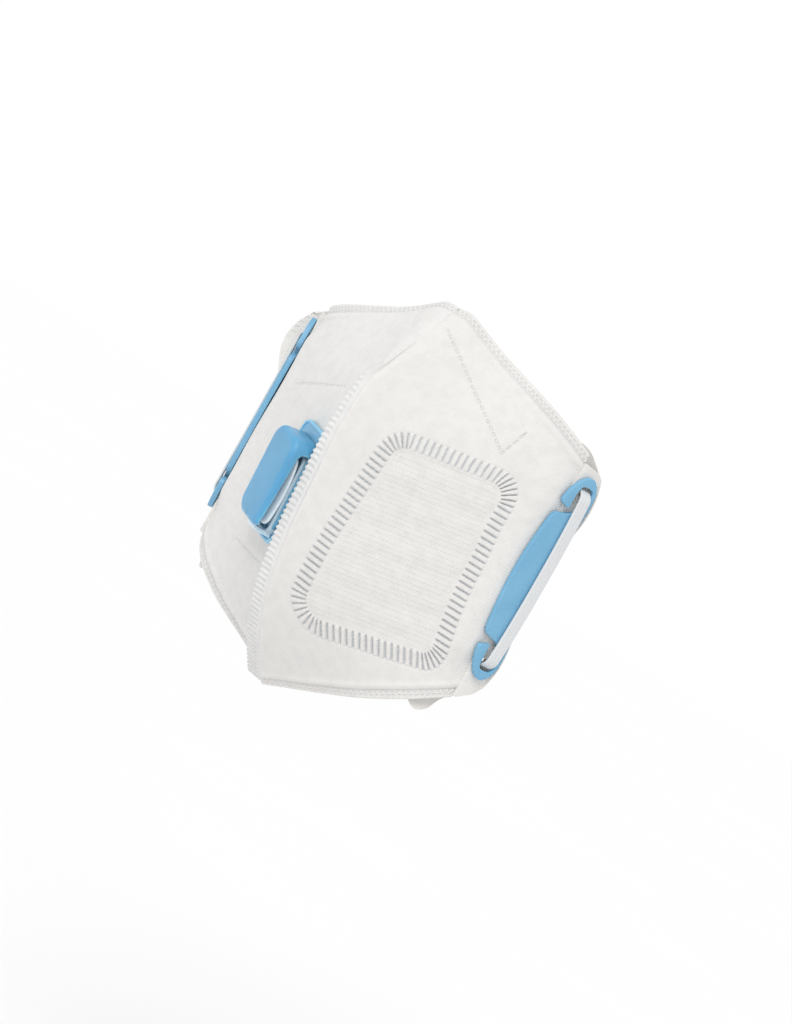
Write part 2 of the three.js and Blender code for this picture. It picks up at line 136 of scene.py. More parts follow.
def through(stops, closed=False):
    """Points on a centripetal Catmull-Rom curve through the stops."""
    stops = np.asarray(stops, float)
    count = len(stops)
    points = []
    for i in range(count if closed else count - 1):
        p1 = stops[i]
        p2 = stops[(i + 1) % count]
        p0 = stops[i - 1] if i > 0 or closed else 2 * p1 - p2
        p3 = stops[(i + 2) % count] if i + 2 < count or closed else 2 * p2 - p1
        d0, d1, d2 = (max(np.linalg.norm(b - a), 1e-6) ** 0.5 for a, b in ((p0, p1), (p1, p2), (p2, p3)))
        t1 = ((p1 - p0) / d0 - (p2 - p0) / (d0 + d1) + (p2 - p1) / d1) * d1
        t2 = ((p2 - p1) / d1 - (p3 - p1) / (d1 + d2) + (p3 - p2) / d2) * d1
        t = np.linspace(0, 1, SPAN_STEPS, endpoint=False)[:, None]
        points.append(p1 + t1 * t + (3 * (p2 - p1) - 2 * t1 - t2) * t**2 + (2 * (p1 - p2) + t1 + t2) * t**3)
    if not closed:
        points.append(stops[-1:])
    return np.concatenate(points)


def lengths(points):
    """The distance along a line of points, from its first."""
    steps = np.linalg.norm(np.diff(points, axis=0), axis=-1)
    return np.concatenate([np.zeros((1,) + steps.shape[1:]), np.cumsum(steps, axis=0)])


seam_line = through(SEAM)
seam_along = lengths(seam_line)
SEAM_LENGTH = seam_along[-1]


def seam_at(v):
    """The seam's place (0, y, z) at a share v of its length."""
    reach = np.clip(v, 0, 1) * SEAM_LENGTH
    y = np.interp(reach, seam_along, seam_line[:, 0])
    z = np.interp(reach, seam_along, seam_line[:, 1])
    return np.stack([np.zeros_like(y), y, z], -1)


def seam_facing(v):
    """The direction straight out of the seam."""
    step = unit(seam_at(np.clip(v + 0.004, 0, 1)) - seam_at(np.clip(v - 0.004, 0, 1)))
    return np.stack([np.zeros_like(v), -step[..., 2], step[..., 1]], -1)


def rotation(angle, first, second):
    """The matrix that turns one axis towards another."""
    turned = np.eye(3)
    turned[first, first] = turned[second, second] = math.cos(angle)
    turned[first, second] = -math.sin(angle)
    turned[second, first] = math.sin(angle)
    return turned


CHEEK = rotation(CHEEK_LEAN, 1, 2) @ rotation(CHEEK_TURN, 0, 1)


def on_cheek(across, out, up):
    """Points of the left cheek's frame, in the mask's frame."""
    a, o, u = np.broadcast_arrays(*(np.asarray(x, float) for x in (across, out, up)))
    return np.stack([a, -o, u], -1) @ CHEEK.T + np.array([CHEEK_HALF_SPAN, 0, 0])


def mirrored(points):
    return points * np.array([-1, 1, 1])


def folded(v):
    """1 where the seam strip lies folded over, 0 above the nose bend."""
    return 1 - smooth_step(BEND_START, BEND_END, v)


def panel_point(s, v, right):
    """A panel's outside, drawn on the left: s from seam to cheek, v from bottom hem to top hem."""
    s, v = np.broadcast_arrays(np.asarray(s, float), np.asarray(v, float))
    out = seam_facing(v)
    recess = RIGHT_RECESS if right else 0
    start = seam_at(v) - out * (recess * folded(v))[..., None]
    start[..., 0] = 0.3
    end = on_cheek(EDGE_ACROSS, EDGE_OUT, mix(EDGE_BOTTOM, EDGE_TOP, v))
    reach = np.linalg.norm(end - start, axis=-1)
    leave = -out * math.sin(START_TURN)
    leave[..., 0] = math.cos(START_TURN)
    climb = (end[..., 2] - start[..., 2]) / reach
    if right:
        climb = climb + RIGHT_DROOP * np.maximum(0, 2 * v - 1) ** 3
    arrive = np.stack([np.full_like(v, math.cos(END_TURN)), np.full_like(v, math.sin(END_TURN)), climb], -1)
    s2, s3 = s * s, s**3
    points = start * (2 * s3 - 3 * s2 + 1)[..., None]
    points += leave * ((s3 - 2 * s2 + s) * reach)[..., None]
    points += end * (3 * s2 - 2 * s3)[..., None]
    points += arrive * ((s3 - s2) * reach)[..., None]
    points[..., 2] += np.where(v > 0.5, TOP_BOW, BOTTOM_BOW) * (2 * v - 1) ** 3 * np.sin(np.pi * s)
    return points


def facing(grid):
    """The direction that each point of a grid faces."""
    return unit(np.cross(np.gradient(grid, axis=0), np.gradient(grid, axis=1)))


# ---- meshes


def grid_quads(rows, columns, offset=0, keep=None):
    i, j = np.meshgrid(np.arange(rows - 1), np.arange(columns - 1), indexing="ij")
    first = offset + i * columns + j
    quads = np.stack([first, first + columns, first + columns + 1, first + 1], -1)
    if keep is None:
        return quads.reshape(-1, 4)
    return quads[keep].reshape(-1, 4)


def doubled(outer, inner, keep=None):
    """Points and faces of a sheet with two sides, closed round its open edges."""
    rows, columns = outer.shape[:2]
    front = grid_quads(rows, columns, 0, keep)
    back = grid_quads(rows, columns, rows * columns, keep)[:, ::-1]
    points = np.concatenate([outer.reshape(-1, 3), inner.reshape(-1, 3)])
    return points, front.tolist() + back.tolist() + rims(front, rows * columns)


def rims(front, offset):
    """Faces that close a doubled sheet round its open edges."""
    edges = dict.fromkeys((a, b) for face in front.tolist() for a, b in zip(face, face[1:] + face[:1]))
    return [[b, a, a + offset, b + offset] for (a, b) in edges if (b, a) not in edges]


def on_side(points, faces, right):
    """Points and faces drawn on the left, or their mirror image on the right."""
    if not right:
        return points, faces
    return mirrored(points), [face[::-1] for face in faces]


def per_point(*values):
    """Values of a grid's points, with a row for each point."""
    return np.stack(np.broadcast_arrays(*values), -1).reshape(-1, len(values))


def make_object(name, points, faces, facts=None, sharp=None):
    """A mesh object from points in millimetres. facts are values kept at each point.

    Edges that turn by more than sharp degrees aren't shaded smooth.
    """
    mesh = bpy.data.meshes.new(name)
    points = np.asarray(points, float).reshape(-1, 3) * MM
    mesh.from_pydata(points.tolist(), [], [list(map(int, face)) for face in faces])
    for fact, values in (facts or {}).items():
        values = np.asarray(values, np.float32)
        if values.ndim == 1:
            mesh.attributes.new(fact, "FLOAT", "POINT").data.foreach_set("value", values)
        else:
            mesh.attributes.new(fact, "FLOAT_VECTOR", "POINT").data.foreach_set("vector", values.ravel())
    mesh.shade_smooth()
    if sharp is not None:
        mesh.set_sharp_from_angle(angle=sharp * DEGREE)
    mesh.validate()
    made = bpy.data.objects.new(name, mesh)
    bpy.context.collection.objects.link(made)
    return made


def place(piece, material, slot, *nodes):
    """Gives a piece its material and its body, and hides the solids it stands for."""
    piece.data.materials.clear()
    piece.data.materials.append(material)
    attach(piece, "root")
    if nodes:
        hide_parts(*nodes)
    return piece


def settle(piece):
    """Turns a piece's modifiers into plain mesh."""
    graph = bpy.context.evaluated_depsgraph_get()
    mesh = bpy.data.meshes.new_from_object(piece.evaluated_get(graph))
    piece.modifiers.clear()
    piece.data = mesh


def edged(piece, width, sharp=34, segments=3, limit=42):
    """Rounds a moulded piece's edges, and shades it smooth but for its sharp ones."""
    bevel = piece.modifiers.new("edge", "BEVEL")
    bevel.width = width * MM
    bevel.segments = segments
    bevel.limit_method = "ANGLE"
    bevel.angle_limit = limit * DEGREE
    settle(piece)
    piece.data.shade_smooth()
    piece.data.set_sharp_from_angle(angle=sharp * DEGREE)
    return piece


# ---- materials


class Nodes:
    """Builds a material's nodes with short calls."""

    def __init__(self, name):
        self.material = bpy.data.materials.new(name)
        self.material.use_nodes = True
        self.tree = self.material.node_tree
        self.shader = self.tree.nodes["Principled BSDF"]

    def link(self, socket, value):
        if isinstance(value, bpy.types.NodeSocket):
            self.tree.links.new(value, socket)
        else:
            socket.default_value = value

    def node(self, kind, inputs=None, output=0, **settings):
        made = self.tree.nodes.new(kind)
        for key, value in settings.items():
            setattr(made, key, value)
        for key, value in (inputs or {}).items():
            self.link(made.inputs[key], value)
        return made.outputs[output]

    def maths(self, operation, a, b=0.0):
        return self.node("ShaderNodeMath", {0: a, 1: b}, operation=operation)

    def distance(self, a, b):
        return self.maths("ABSOLUTE", self.maths("SUBTRACT", a, b))

    def less(self, value, other, share):
        """A value less a share of another."""
        return self.maths("SUBTRACT", value, self.maths("MULTIPLY", other, share))

    def ramp(self, value, low, high, to_low=0.0, to_high=1.0):
        inputs = {"Value": value, "From Min": low, "From Max": high, "To Min": to_low, "To Max": to_high}
        return self.node("ShaderNodeMapRange", inputs, interpolation_type="SMOOTHSTEP")

    def fact(self, name, output="Vector"):
        return self.node("ShaderNodeAttribute", output=output, attribute_name=name)

    def split(self, vector):
        made = self.tree.nodes.new("ShaderNodeSeparateXYZ")
        self.link(made.inputs[0], vector)
        return made.outputs

    def noise(self, vector, scale, detail=2.0, roughness=0.5, distortion=0.0):
        inputs = {
            "Vector": vector,
            "Scale": scale,
            "Detail": detail,
            "Roughness": roughness,
            "Distortion": distortion,
        }
        return self.node("ShaderNodeTexNoise", inputs)

    def turned(self, vector, angle=0.0, scale=(1, 1, 1)):
        inputs = {"Vector": vector, "Rotation": (0, 0, angle * DEGREE), "Scale": scale}
        return self.node("ShaderNodeMapping", inputs)

    def colour(self, share, low, high):
        inputs = {0: share, 6: (*low, 1), 7: (*high, 1)}
        return self.node("ShaderNodeMix", inputs, output=2, data_type="RGBA")

    def bump(self, height, distance):
        return self.node("ShaderNodeBump", {"Height": height, "Distance": distance, "Strength": 1.0})

    def finish(self, **values):
        names = {
            "colour": "Base Color",
            "roughness": "Roughness",
            "normal": "Normal",
            "subsurface": "Subsurface Weight",
            "radius": "Subsurface Radius",
            "depth": "Subsurface Scale",
            "sheen": "Sheen Weight",
            "transmission": "Transmission Weight",
            "ior": "IOR",
            "specular": "Specular IOR Level",
        }
        for key, value in values.items():
            self.link(self.shader.inputs[names[key]], value)
        return self.material

    def cloth_finish(self, colour, height, roughness, sheen):
        """What all the cloths share. height is in millimetres."""
        return self.finish(
            colour=colour,
            roughness=roughness,
            normal=self.bump(height, MM),
            sheen=sheen,
            specular=0.25,
            subsurface=0.12,
            radius=(1.0, 0.9, 0.8),
            depth=0.0008,
        )


def repeated(nodes, value, pitch, offset=0.0):
    """How far a value is from the nearest of a row of marks set a pitch apart."""
    shifted = nodes.maths("ADD", value, pitch / 2 - offset)
    wrapped = nodes.node("ShaderNodeMath", {0: shifted, 1: pitch, 2: 0.0}, operation="WRAP")
    return nodes.distance(wrapped, pitch / 2)


def mark(nodes, along, off, half_length, half_width, soft=0.25):
    """1 inside a small soft-edged mark, 0 outside."""
    inside_length = nodes.ramp(along, half_length, half_length + soft, 1.0, 0.0)
    inside_width = nodes.ramp(off, half_width, half_width + soft, 1.0, 0.0)
    return nodes.maths("MULTIPLY", inside_length, inside_width)


EMBOSS_ANGLE = 38


def grain(nodes, flat):
    """The nonwoven's fine diagonal emboss and loose fibres, in millimetres, and its slow mottle."""
    x, y, _ = nodes.split(nodes.turned(flat, EMBOSS_ANGLE))
    cell_x = repeated(nodes, x, 1.15)
    cell_y = repeated(nodes, y, 0.85)
    dots = mark(nodes, cell_x, cell_y, 0.12, 0.1, 0.3)
    fibres = nodes.noise(nodes.turned(flat, EMBOSS_ANGLE, (0.5, 2.2, 1)), 1.6, 4.0, 0.6, 0.4)
    mottle = nodes.noise(flat, 0.22, 3.0, 0.55)
    height = nodes.maths("MULTIPLY", dots, -0.045)
    height = nodes.maths("ADD", height, nodes.maths("MULTIPLY", fibres, 0.07))
    return height, mottle


# The blue-grey painted shade in the grooves of the ribbed weld and of the hems.
GROOVE_SHADE_COLOUR = (0.52, 0.57, 0.63, 1)
# The two rows of weld dots along a hem: (distance from the hem, shift along it).
HEM_DOT_ROWS = ((1.2, 0.0), (2.5, 1.1))
HEM_DOT_PITCH = 2.2
DASH_PITCH = 3.1
FLAP_DOT_ROW = 1.3
FLAP_DOT_PITCH = 2.6


def cloth_material(name, pale, shade):
    """White nonwoven with its weld dots along the hems, its dashed weld lines, and painted shade in its
    grooves.
    """
    nodes = Nodes(name)
    flat = nodes.fact("flat")
    height, mottle = grain(nodes, flat)
    hem_along, hem_off, _ = nodes.split(nodes.fact("hem"))
    rows = []
    for row, offset in HEM_DOT_ROWS:
        along = repeated(nodes, hem_along, HEM_DOT_PITCH, offset)
        rows.append(mark(nodes, along, nodes.distance(hem_off, row), 0.42, 0.2, 0.3))
    dots = nodes.maths("MAXIMUM", *rows)
    line_along, line_off, line_depth = nodes.split(nodes.fact("line"))
    along = repeated(nodes, line_along, DASH_PITCH)
    dash = mark(nodes, along, nodes.maths("ABSOLUTE", line_off), 0.8, 0.2, 0.35)
    marks = nodes.maths("MAXIMUM", dots, nodes.maths("MULTIPLY", dash, line_depth))
    height = nodes.less(height, marks, 0.22)
    x, y, _ = nodes.split(nodes.turned(flat, -9))
    stipple = mark(nodes, repeated(nodes, x, 1.5), repeated(nodes, y, 1.9), 0.3, 0.14, 0.3)
    stipple = nodes.maths("MULTIPLY", stipple, nodes.fact("pressed", "Fac"))
    height = nodes.less(height, stipple, 0.1)
    tone = nodes.less(mottle, marks, 0.3)
    cloth = nodes.colour(nodes.ramp(tone, 0.2, 0.7), shade, pale)
    # Painted shade: the cloth's colour turns blue-grey in the grooves.
    groove_shade_share = nodes.maths("MULTIPLY", nodes.fact("groove_shade", "Fac"), 0.5)
    inputs = {0: groove_shade_share, 6: cloth, 7: GROOVE_SHADE_COLOUR}
    cloth = nodes.node("ShaderNodeMix", inputs, output=2, data_type="RGBA")
    return nodes.cloth_finish(cloth, height, 0.86, 0.15)


def plain_cloth_material(name, pale, shade, dotted=False):
    """Cloth without weld lines, with or without a row of dots along its rolled edge."""
    nodes = Nodes(name)
    height, mottle = grain(nodes, nodes.fact("flat"))
    if dotted:
        edge_along, edge_off, shown = nodes.split(nodes.fact("hem"))
        along = repeated(nodes, edge_along, FLAP_DOT_PITCH)
        dots = mark(nodes, along, nodes.distance(edge_off, FLAP_DOT_ROW), 0.4, 0.3, 0.35)
        dots = nodes.maths("MULTIPLY", dots, shown)
        height = nodes.less(height, dots, 0.2)
        mottle = nodes.less(mottle, dots, 0.2)
    colour = nodes.colour(nodes.ramp(mottle, 0.2, 0.7), shade, pale)
    return nodes.cloth_finish(colour, height, 0.85, 0.12)


def plastic_material(name, deep, light, roughness, depth=0.0012, subsurface=0.25):
    """Moulded plastic: a faint flow pattern and a very fine satin grain."""
    nodes = Nodes(name)
    place_in = nodes.node("ShaderNodeTexCoord", output="Object")
    flow = nodes.noise(place_in, 60.0, 2.0, 0.5, 0.6)
    fine = nodes.noise(place_in, 3800.0, 2.0)
    return nodes.finish(
        colour=nodes.colour(nodes.ramp(flow, 0.3, 0.7), deep, light),
        roughness=nodes.ramp(flow, 0.2, 0.8, roughness - 0.04, roughness + 0.05),
        normal=nodes.bump(fine, 0.000012),
        subsurface=subsurface,
        radius=(0.6, 1.0, 1.2),
        depth=depth,
        specular=0.45,
    )


def elastic_material():
    """Flat elastic: lengthwise cords with a fine cross weave."""
    nodes = Nodes("strap_elastic")
    along, across, _ = nodes.split(nodes.fact("flat"))
    weave_along = nodes.maths("SINE", nodes.maths("MULTIPLY", along, 2 * math.pi / 0.62))
    weave_across = nodes.maths("SINE", nodes.maths("MULTIPLY", across, 2 * math.pi / 0.58))
    height = nodes.maths("MULTIPLY", weave_along, 0.018)
    height = nodes.maths("ADD", height, nodes.maths("MULTIPLY", weave_across, 0.03))
    # Painted shade: the colour darkens in the hollows between the cords.
    tone = nodes.ramp(weave_across, -1, 1)
    return nodes.finish(
        colour=nodes.colour(tone, (0.64, 0.66, 0.68), (0.77, 0.78, 0.79)),
        roughness=0.8,
        normal=nodes.bump(height, MM),
        sheen=0.2,
        specular=0.3,
    )


def silicone_material(name, colour, transmission):
    """Soft milky plastic that lets some light in."""
    nodes = Nodes(name)
    place_in = nodes.node("ShaderNodeTexCoord", output="Object")
    flow = nodes.noise(place_in, 90.0, 2.0)
    pale = tuple(min(1, c * 1.06) for c in colour)
    return nodes.finish(
        colour=nodes.colour(nodes.ramp(flow, 0.3, 0.7), colour, pale),
        roughness=nodes.ramp(flow, 0.2, 0.8, 0.26, 0.36),
        transmission=transmission,
        ior=1.42,
        subsurface=0.3,
        radius=(1.0, 1.0, 1.0),
        depth=0.001,
    )


near_cloth = cloth_material("cloth_left", (0.75, 0.735, 0.715), (0.705, 0.69, 0.672))
# The right panel's cloth is a little darker than the left's: painted shade for the panel that gets less
# light.
far_cloth_shaded = cloth_material("cloth_right_shaded", (0.74, 0.73, 0.715), (0.695, 0.686, 0.672))
inner_cloth = plain_cloth_material("cloth_inside", (0.76, 0.752, 0.74), (0.715, 0.708, 0.70))
strip_cloth = plain_cloth_material("cloth_strip", (0.745, 0.74, 0.73), (0.685, 0.683, 0.68))
flap_cloth = plain_cloth_material("cloth_flap", (0.77, 0.752, 0.725), (0.725, 0.708, 0.68), True)
clip_plastic = plastic_material("clip_plastic", (0.17, 0.405, 0.60), (0.195, 0.435, 0.63), 0.42)
hood_plastic = plastic_material("hood_plastic", (0.092, 0.325, 0.545), (0.12, 0.37, 0.60), 0.3, 0.004, 0.7)
base_plastic = plastic_material("base_plastic", (0.20, 0.47, 0.68), (0.25, 0.54, 0.75), 0.32, 0.003, 0.6)
elastic = elastic_material()
# The diaphragm, the rim and the lip are paler than the hood. This is partly their own milky colour and
# partly painted light, standing in for light shining in through the hood.
milky = silicone_material("diaphragm_silicone_painted_light", (0.76, 0.85, 0.90), 0.0)
pale_lip_painted_light = silicone_material("lip_plastic_painted_light", (0.62, 0.78, 0.88), 0.35)

# ---- panels

# The ribbed weld on the left panel: the corners of its outside, as (distance from the seam, height).
WELD_CORNERS = [(6.2, -63.6), (70.8, -49.0), (72.4, 31.2), (17.0, 22.4)]
WELD_CORNER_RADIUS = 12.0
WELD_WIDTH = 5.9
WELD_PITCH = 2.6
WELD_LIFT = 0.45
GROOVE_DEPTH = 1.15

# Dashed weld lines: how deep they are pressed, and their (distance from the seam, height).
NEAR_LINES = [
    (1.0, [(6.8, 63.5), (29.5, 48.4), (53.7, 33.8), (53.2, 45.0)]),
    (0.3, [(53.2, 45.0), (40.5, 53.2), (24.0, 62.0)]),
]
FAR_LINES = [
    (0.3, [(49.0, 31.0), (45.0, 44.5)]),
    (1.0, [(64.0, 17.0), (18.0, 25.6)]),
    (1.0, [(44.0, -46.2), (18.5, -48.0)]),
]

LINE_PRESSED = 0.22
LINE_HALF_WIDTH = 0.8
LINE_OUT_OF_REACH = 99.0

PANEL_WALL = 1.3
RIPPLE_HEIGHT = 0.32
FOLD_STEPS = 12
# How far the left panel's seam edge turns on, out of sight under the folded strip.
FOLD_HIDDEN_TURN = -78 * DEGREE
HEM_WIDTH = 3.4
# The cloth turns over a hem by these angles, and then runs back by these distances.
HEM_TURN_ANGLES = (35, 70, 110, 145, 180)
HEM_RUNS_BACK = (1.5, 3.4)


def rounded_start(v, right):
    """The round that joins a panel to the other side of the seam.

    The seam edge is a tight fold that opens into a wide round towards the nose. Gives the share of
    the panel that the round takes, where the round ends, how far it has turned there, and its radius.
    """
    skip = mix(0.008, 0.13, smooth_step(0.7, 0.97, v))
    end = panel_point(skip, v, right)
    ahead = panel_point(skip + 0.002, v, right) - end
    turned = np.arctan2(-np.sum(ahead * seam_facing(v), axis=-1), ahead[..., 0])
    return skip, end, turned, end[..., 0] / np.sin(turned)


def fold_radius(v):
    """The radius of the round at the seam edge."""
    return rounded_start(v, False)[3]


def nose_drop(v):
    """How far the round of the seam edge lies inside the sharp seam."""
    return fold_radius(v) * (1 / math.cos(START_TURN) - 1)


def nose_lift(v, a):
    """How far the nose stands out, so that its round keeps the seam's own outline."""
    return np.maximum(0, nose_drop(v) - nose_drop(0.0 * v)) * (1 - smooth_step(0, 34, a))


def clip_bulge(from_edge, z):
    """The cloth swells up to the back of the strap clip beside the cheek edge."""
    rise = (1.2 + 1.1 * smooth_step(0, 6, from_edge)) * (1 - smooth_step(8, 21, from_edge))
    return rise * (1 - smooth_step(33, 44, np.abs(z)))


def stations(breaks):
    """Rising values from a table of (from, to, count)."""
    parts = [np.linspace(low, high, count, endpoint=False) for low, high, count in breaks]
    return np.concatenate(parts + [[breaks[-1][1]]])


def off_segment(p, q, a, z):
    """A segment's length and direction, how far along it each point lies, and how far off it."""
    edge = q - p
    length = np.linalg.norm(edge)
    edge = edge / length
    t = np.clip((a - p[0]) * edge[0] + (z - p[1]) * edge[1], 0, length)
    return length, edge, t, a - p[0] - edge[0] * t, z - p[1] - edge[1] * t


def rounded_outline(corners, radius, a, z):
    """Signed distance outside a rounded polygon, distance along its outline, and its whole length."""
    corners = np.asarray(corners, float)
    count = len(corners)
    inner = []
    for k in range(count):
        back = corners[k - 1] - corners[k]
        ahead = corners[(k + 1) % count] - corners[k]
        back /= np.linalg.norm(back)
        ahead /= np.linalg.norm(ahead)
        half = math.acos(np.clip(back @ ahead, -1, 1)) / 2
        middle = (back + ahead) / np.linalg.norm(back + ahead)
        inner.append(corners[k] + middle * radius / math.sin(half))
    best = np.full(a.shape, np.inf)
    along = np.zeros(a.shape)
    inside = np.ones(a.shape, bool)
    done = 0.0
    for k in range(count):
        p, q = inner[k], inner[(k + 1) % count]
        length, edge, t, off_a, off_z = off_segment(p, q, a, z)
        outwards = np.array([edge[1], -edge[0]])
        distance = np.hypot(off_a, off_z)
        inside &= (a - p[0]) * outwards[0] + (z - p[1]) * outwards[1] < 0
        swing = np.arctan2(off_a * edge[0] + off_z * edge[1], off_a * outwards[0] + off_z * outwards[1])
        here = done + t + radius * np.where((t <= 0) | (t >= length), swing, 0)
        closer = distance < best
        along = np.where(closer, here, along)
        best = np.where(closer, distance, best)
        ahead = inner[(k + 2) % count] - q
        bend = math.acos(np.clip(edge @ (ahead / np.linalg.norm(ahead)), -1, 1))
        done += length + radius * bend
    return np.where(inside, -best, best) - radius, along, done


def near_line(stops, a, z):
    """How far along a bent line each point lies, and how far off it."""
    best = np.full(a.shape, np.inf)
    along = np.zeros(a.shape)
    done = 0.0
    for p, q in zip(stops, stops[1:]):
        length, _, t, off_a, off_z = off_segment(np.array(p, float), np.array(q, float), a, z)
        distance = np.hypot(off_a, off_z)
        closer = distance < best
        along = np.where(closer, done + t, along)
        best = np.where(closer, distance, best)
        done += length
    return along, best


def nearest_line(lines, a, z):
    """The dashed line nearest to each point: how far along it, how far off it, and how deep it is."""
    off = np.full_like(a, LINE_OUT_OF_REACH)
    along = np.zeros_like(a)
    depth = np.zeros_like(a)
    for line_depth, stops in lines:
        line_along, line_off = near_line(stops, a, z)
        closer = line_off < off
        off = np.where(closer, line_off, off)
        along = np.where(closer, line_along, along)
        depth = np.where(closer, line_depth, depth)
    return along, off, depth


def ripple(a, z):
    """Slow uneven swell of the cloth, between about -1 and 1."""
    return (
        0.45 * np.sin(a / 9.1 + z / 23 + 0.4)
        + 0.35 * np.sin(a / 17 - z / 7.7 + 2.1)
        + 0.2 * np.sin(a / 4.9 + z / 6.1 + 5.0)
    )


def creases(a, z):
    """Shallow creases that run across the panel."""
    tilt = z - 0.17 * a
    return (
        np.sin(tilt / 2.1 + 0.8 * np.sin(a / 11.0))
        + 0.6 * np.sin(tilt / 1.3 + 1.1 * np.sin(a / 6.3 + 1.0))
        + 0.5 * np.sin(tilt / 5.3 + 0.3 * a / 4.0)
    ) / 2.1


def ribbed_weld(a, z):
    """The height of the ribbed weld and of the cloth inside it, how far each point is inside, and the share
    of painted shade in its grooves.
    """
    off, along, whole = rounded_outline(WELD_CORNERS, WELD_CORNER_RADIUS, a, z)
    ribs = round(whole / WELD_PITCH)
    phase = along / whole * ribs * 2 * np.pi
    groove = smooth_step(0.25, 0.95, np.cos(phase + 0.12 * np.sin(along * 0.6)))
    across = smooth_step(-WELD_WIDTH - 0.35, -WELD_WIDTH + 0.55, off) * (1 - smooth_step(-0.6, 0.3, off))
    height = across * (WELD_LIFT - GROOVE_DEPTH * groove)
    inside = 1 - smooth_step(-WELD_WIDTH - 2.2, -WELD_WIDTH - 0.2, off)
    height += inside * (0.10 + 0.26 * creases(a, z))
    upper = smooth_step(6, 12, z - 0.165 * a)
    height -= 0.28 * np.exp(-(((off + WELD_WIDTH + 1.5) / 0.42) ** 2)) * upper
    shoulder = smooth_step(0.0, 0.7, off) * np.exp(-np.maximum(off, 0) / 3.5)
    height += 0.22 * shoulder
    return height, inside, across * groove


def hem_relief(off, along):
    """The pressed hem: a lower band with a groove on its inner border."""
    band = 1 - smooth_step(HEM_WIDTH - 0.3, HEM_WIDTH + 0.3, off)
    groove = np.exp(-(((off - HEM_WIDTH) / 0.38) ** 2))
    scallop = 0.10 * np.sin(along * 2 * np.pi / 1.8) * np.exp(-off / 0.7)
    swell = 0.45 * np.exp(-(((off - HEM_WIDTH - 2.0) / 1.3) ** 2))
    return -0.18 * band - 0.5 * groove + scallop + swell


def seam_edge(v, share, right):
    """The rounded seam edge. share runs from 0, where the fold starts, to 1, where the flat begins."""
    out = seam_facing(v)
    _, end, turned, radius = rounded_start(v, right)
    hidden = 0 if right else FOLD_HIDDEN_TURN * folded(v)
    angle = mix(hidden, turned, share)
    recess = RIGHT_RECESS * folded(v) if right else 0
    points = end + out * (radius * (np.cos(angle) - np.cos(turned)))[..., None]
    middle = seam_at(v) - out * (nose_drop(v) + recess)[..., None]
    shift = middle - end - out * (radius * (1 - np.cos(turned)))[..., None]
    points = points + shift * ((1 - share) ** 2)[..., None]
    points[..., 0] = radius * np.sin(angle)
    return points


def panel(name, right, s_breaks, v_breaks, material, node):
    """A panel's outside: the round at the seam, the flat with its relief, and the turned hems."""
    s = stations(s_breaks)
    v = stations(v_breaks)
    grid_s, grid_v = np.meshgrid(s, v, indexing="ij")
    # The flat starts where the rounded edge leaves it.
    skip, start, _, _ = rounded_start(v, right)
    base = panel_point(mix(skip[None, :], 1, grid_s), grid_v, right)
    share, edge_v = np.meshgrid(np.linspace(0, 1, FOLD_STEPS, endpoint=False), v, indexing="ij")
    base = np.concatenate([seam_edge(edge_v, share, right), base])
    v_all = np.concatenate([edge_v, grid_v])
    a = lengths(base)
    a += (start[:, 0] / math.cos(START_TURN) - a[FOLD_STEPS])[None, :]
    base = base + seam_facing(v_all) * nose_lift(v_all, a)[..., None]
    z = base[..., 2]
    up = np.swapaxes(lengths(np.swapaxes(base, 0, 1)), 0, 1)
    hem_off = np.minimum(up, up[:, -1:] - up)
    normal = facing(base)
    height = RIPPLE_HEIGHT * ripple(a, z) * smooth_step(0.5, 6.0, a) + clip_bulge(a[-1:] - a, z)
    pressed = groove_shade = np.zeros_like(a)
    if not right:
        weld, pressed, groove_shade = ribbed_weld(a, z)
        height += weld
    # The hem's relief fades in beside the seam.
    hem_near_seam = smooth_step(1.0, 5.0, a) if right else smooth_step(-1.0, 1.0, a)
    height += hem_relief(hem_off, a) * hem_near_seam
    # Painted shade along the groove of each hem, joined with the painted shade of the weld's grooves.
    hem_groove = np.exp(-(((hem_off - HEM_WIDTH) / 0.4) ** 2))
    groove_shade = np.maximum(groove_shade, 0.55 * hem_groove * hem_near_seam)
    line_along, line_off, line_depth = nearest_line(FAR_LINES if right else NEAR_LINES, a, z)
    height -= LINE_PRESSED * line_depth * np.exp(-((line_off / LINE_HALF_WIDTH) ** 2))
    grid = hem_turn(base + normal * height[..., None], normal)
    pad = (grid.shape[1] - len(v)) // 2

    def fact(*values):
        """Values at each point, carried on over the turned hems."""
        return per_point(*(np.pad(value, ((0, 0), (pad, pad)), mode="edge") for value in values))

    facts = {
        "flat": fact(a, z, v_all),
        "hem": fact(a, hem_off, v_all),
        "line": fact(line_along, line_off, line_depth),
        "pressed": fact(pressed).ravel(),
        "groove_shade": fact(groove_shade).ravel(),
    }
    points, quads = on_side(grid, grid_quads(*grid.shape[:2]), right)
    return place(make_object(name, points, quads, facts), material, "filter_cloth", node)


def hem_turn(surface, normal):
    """Adds rows that turn over each hem, back down inside the wall."""
    half = PANEL_WALL / 2
    sides = []
    for end, next_in in ((0, 3), (-1, -4)):
        edge = surface[:, end]
        inwards = normal[:, end]
        beyond = square_to(inwards, edge - surface[:, next_in])
        rows = []
        for angle in HEM_TURN_ANGLES:
            t = angle * DEGREE
            rows.append(edge - inwards * half * (1 - math.cos(t)) + beyond * half * math.sin(t))
        for run in HEM_RUNS_BACK:
            rows.append(edge - inwards * PANEL_WALL - beyond * run)
        sides.append(rows)
    low = np.stack(sides[0][::-1], 1)
    high = np.stack(sides[1], 1)
    return np.concatenate([low, surface, high], axis=1)


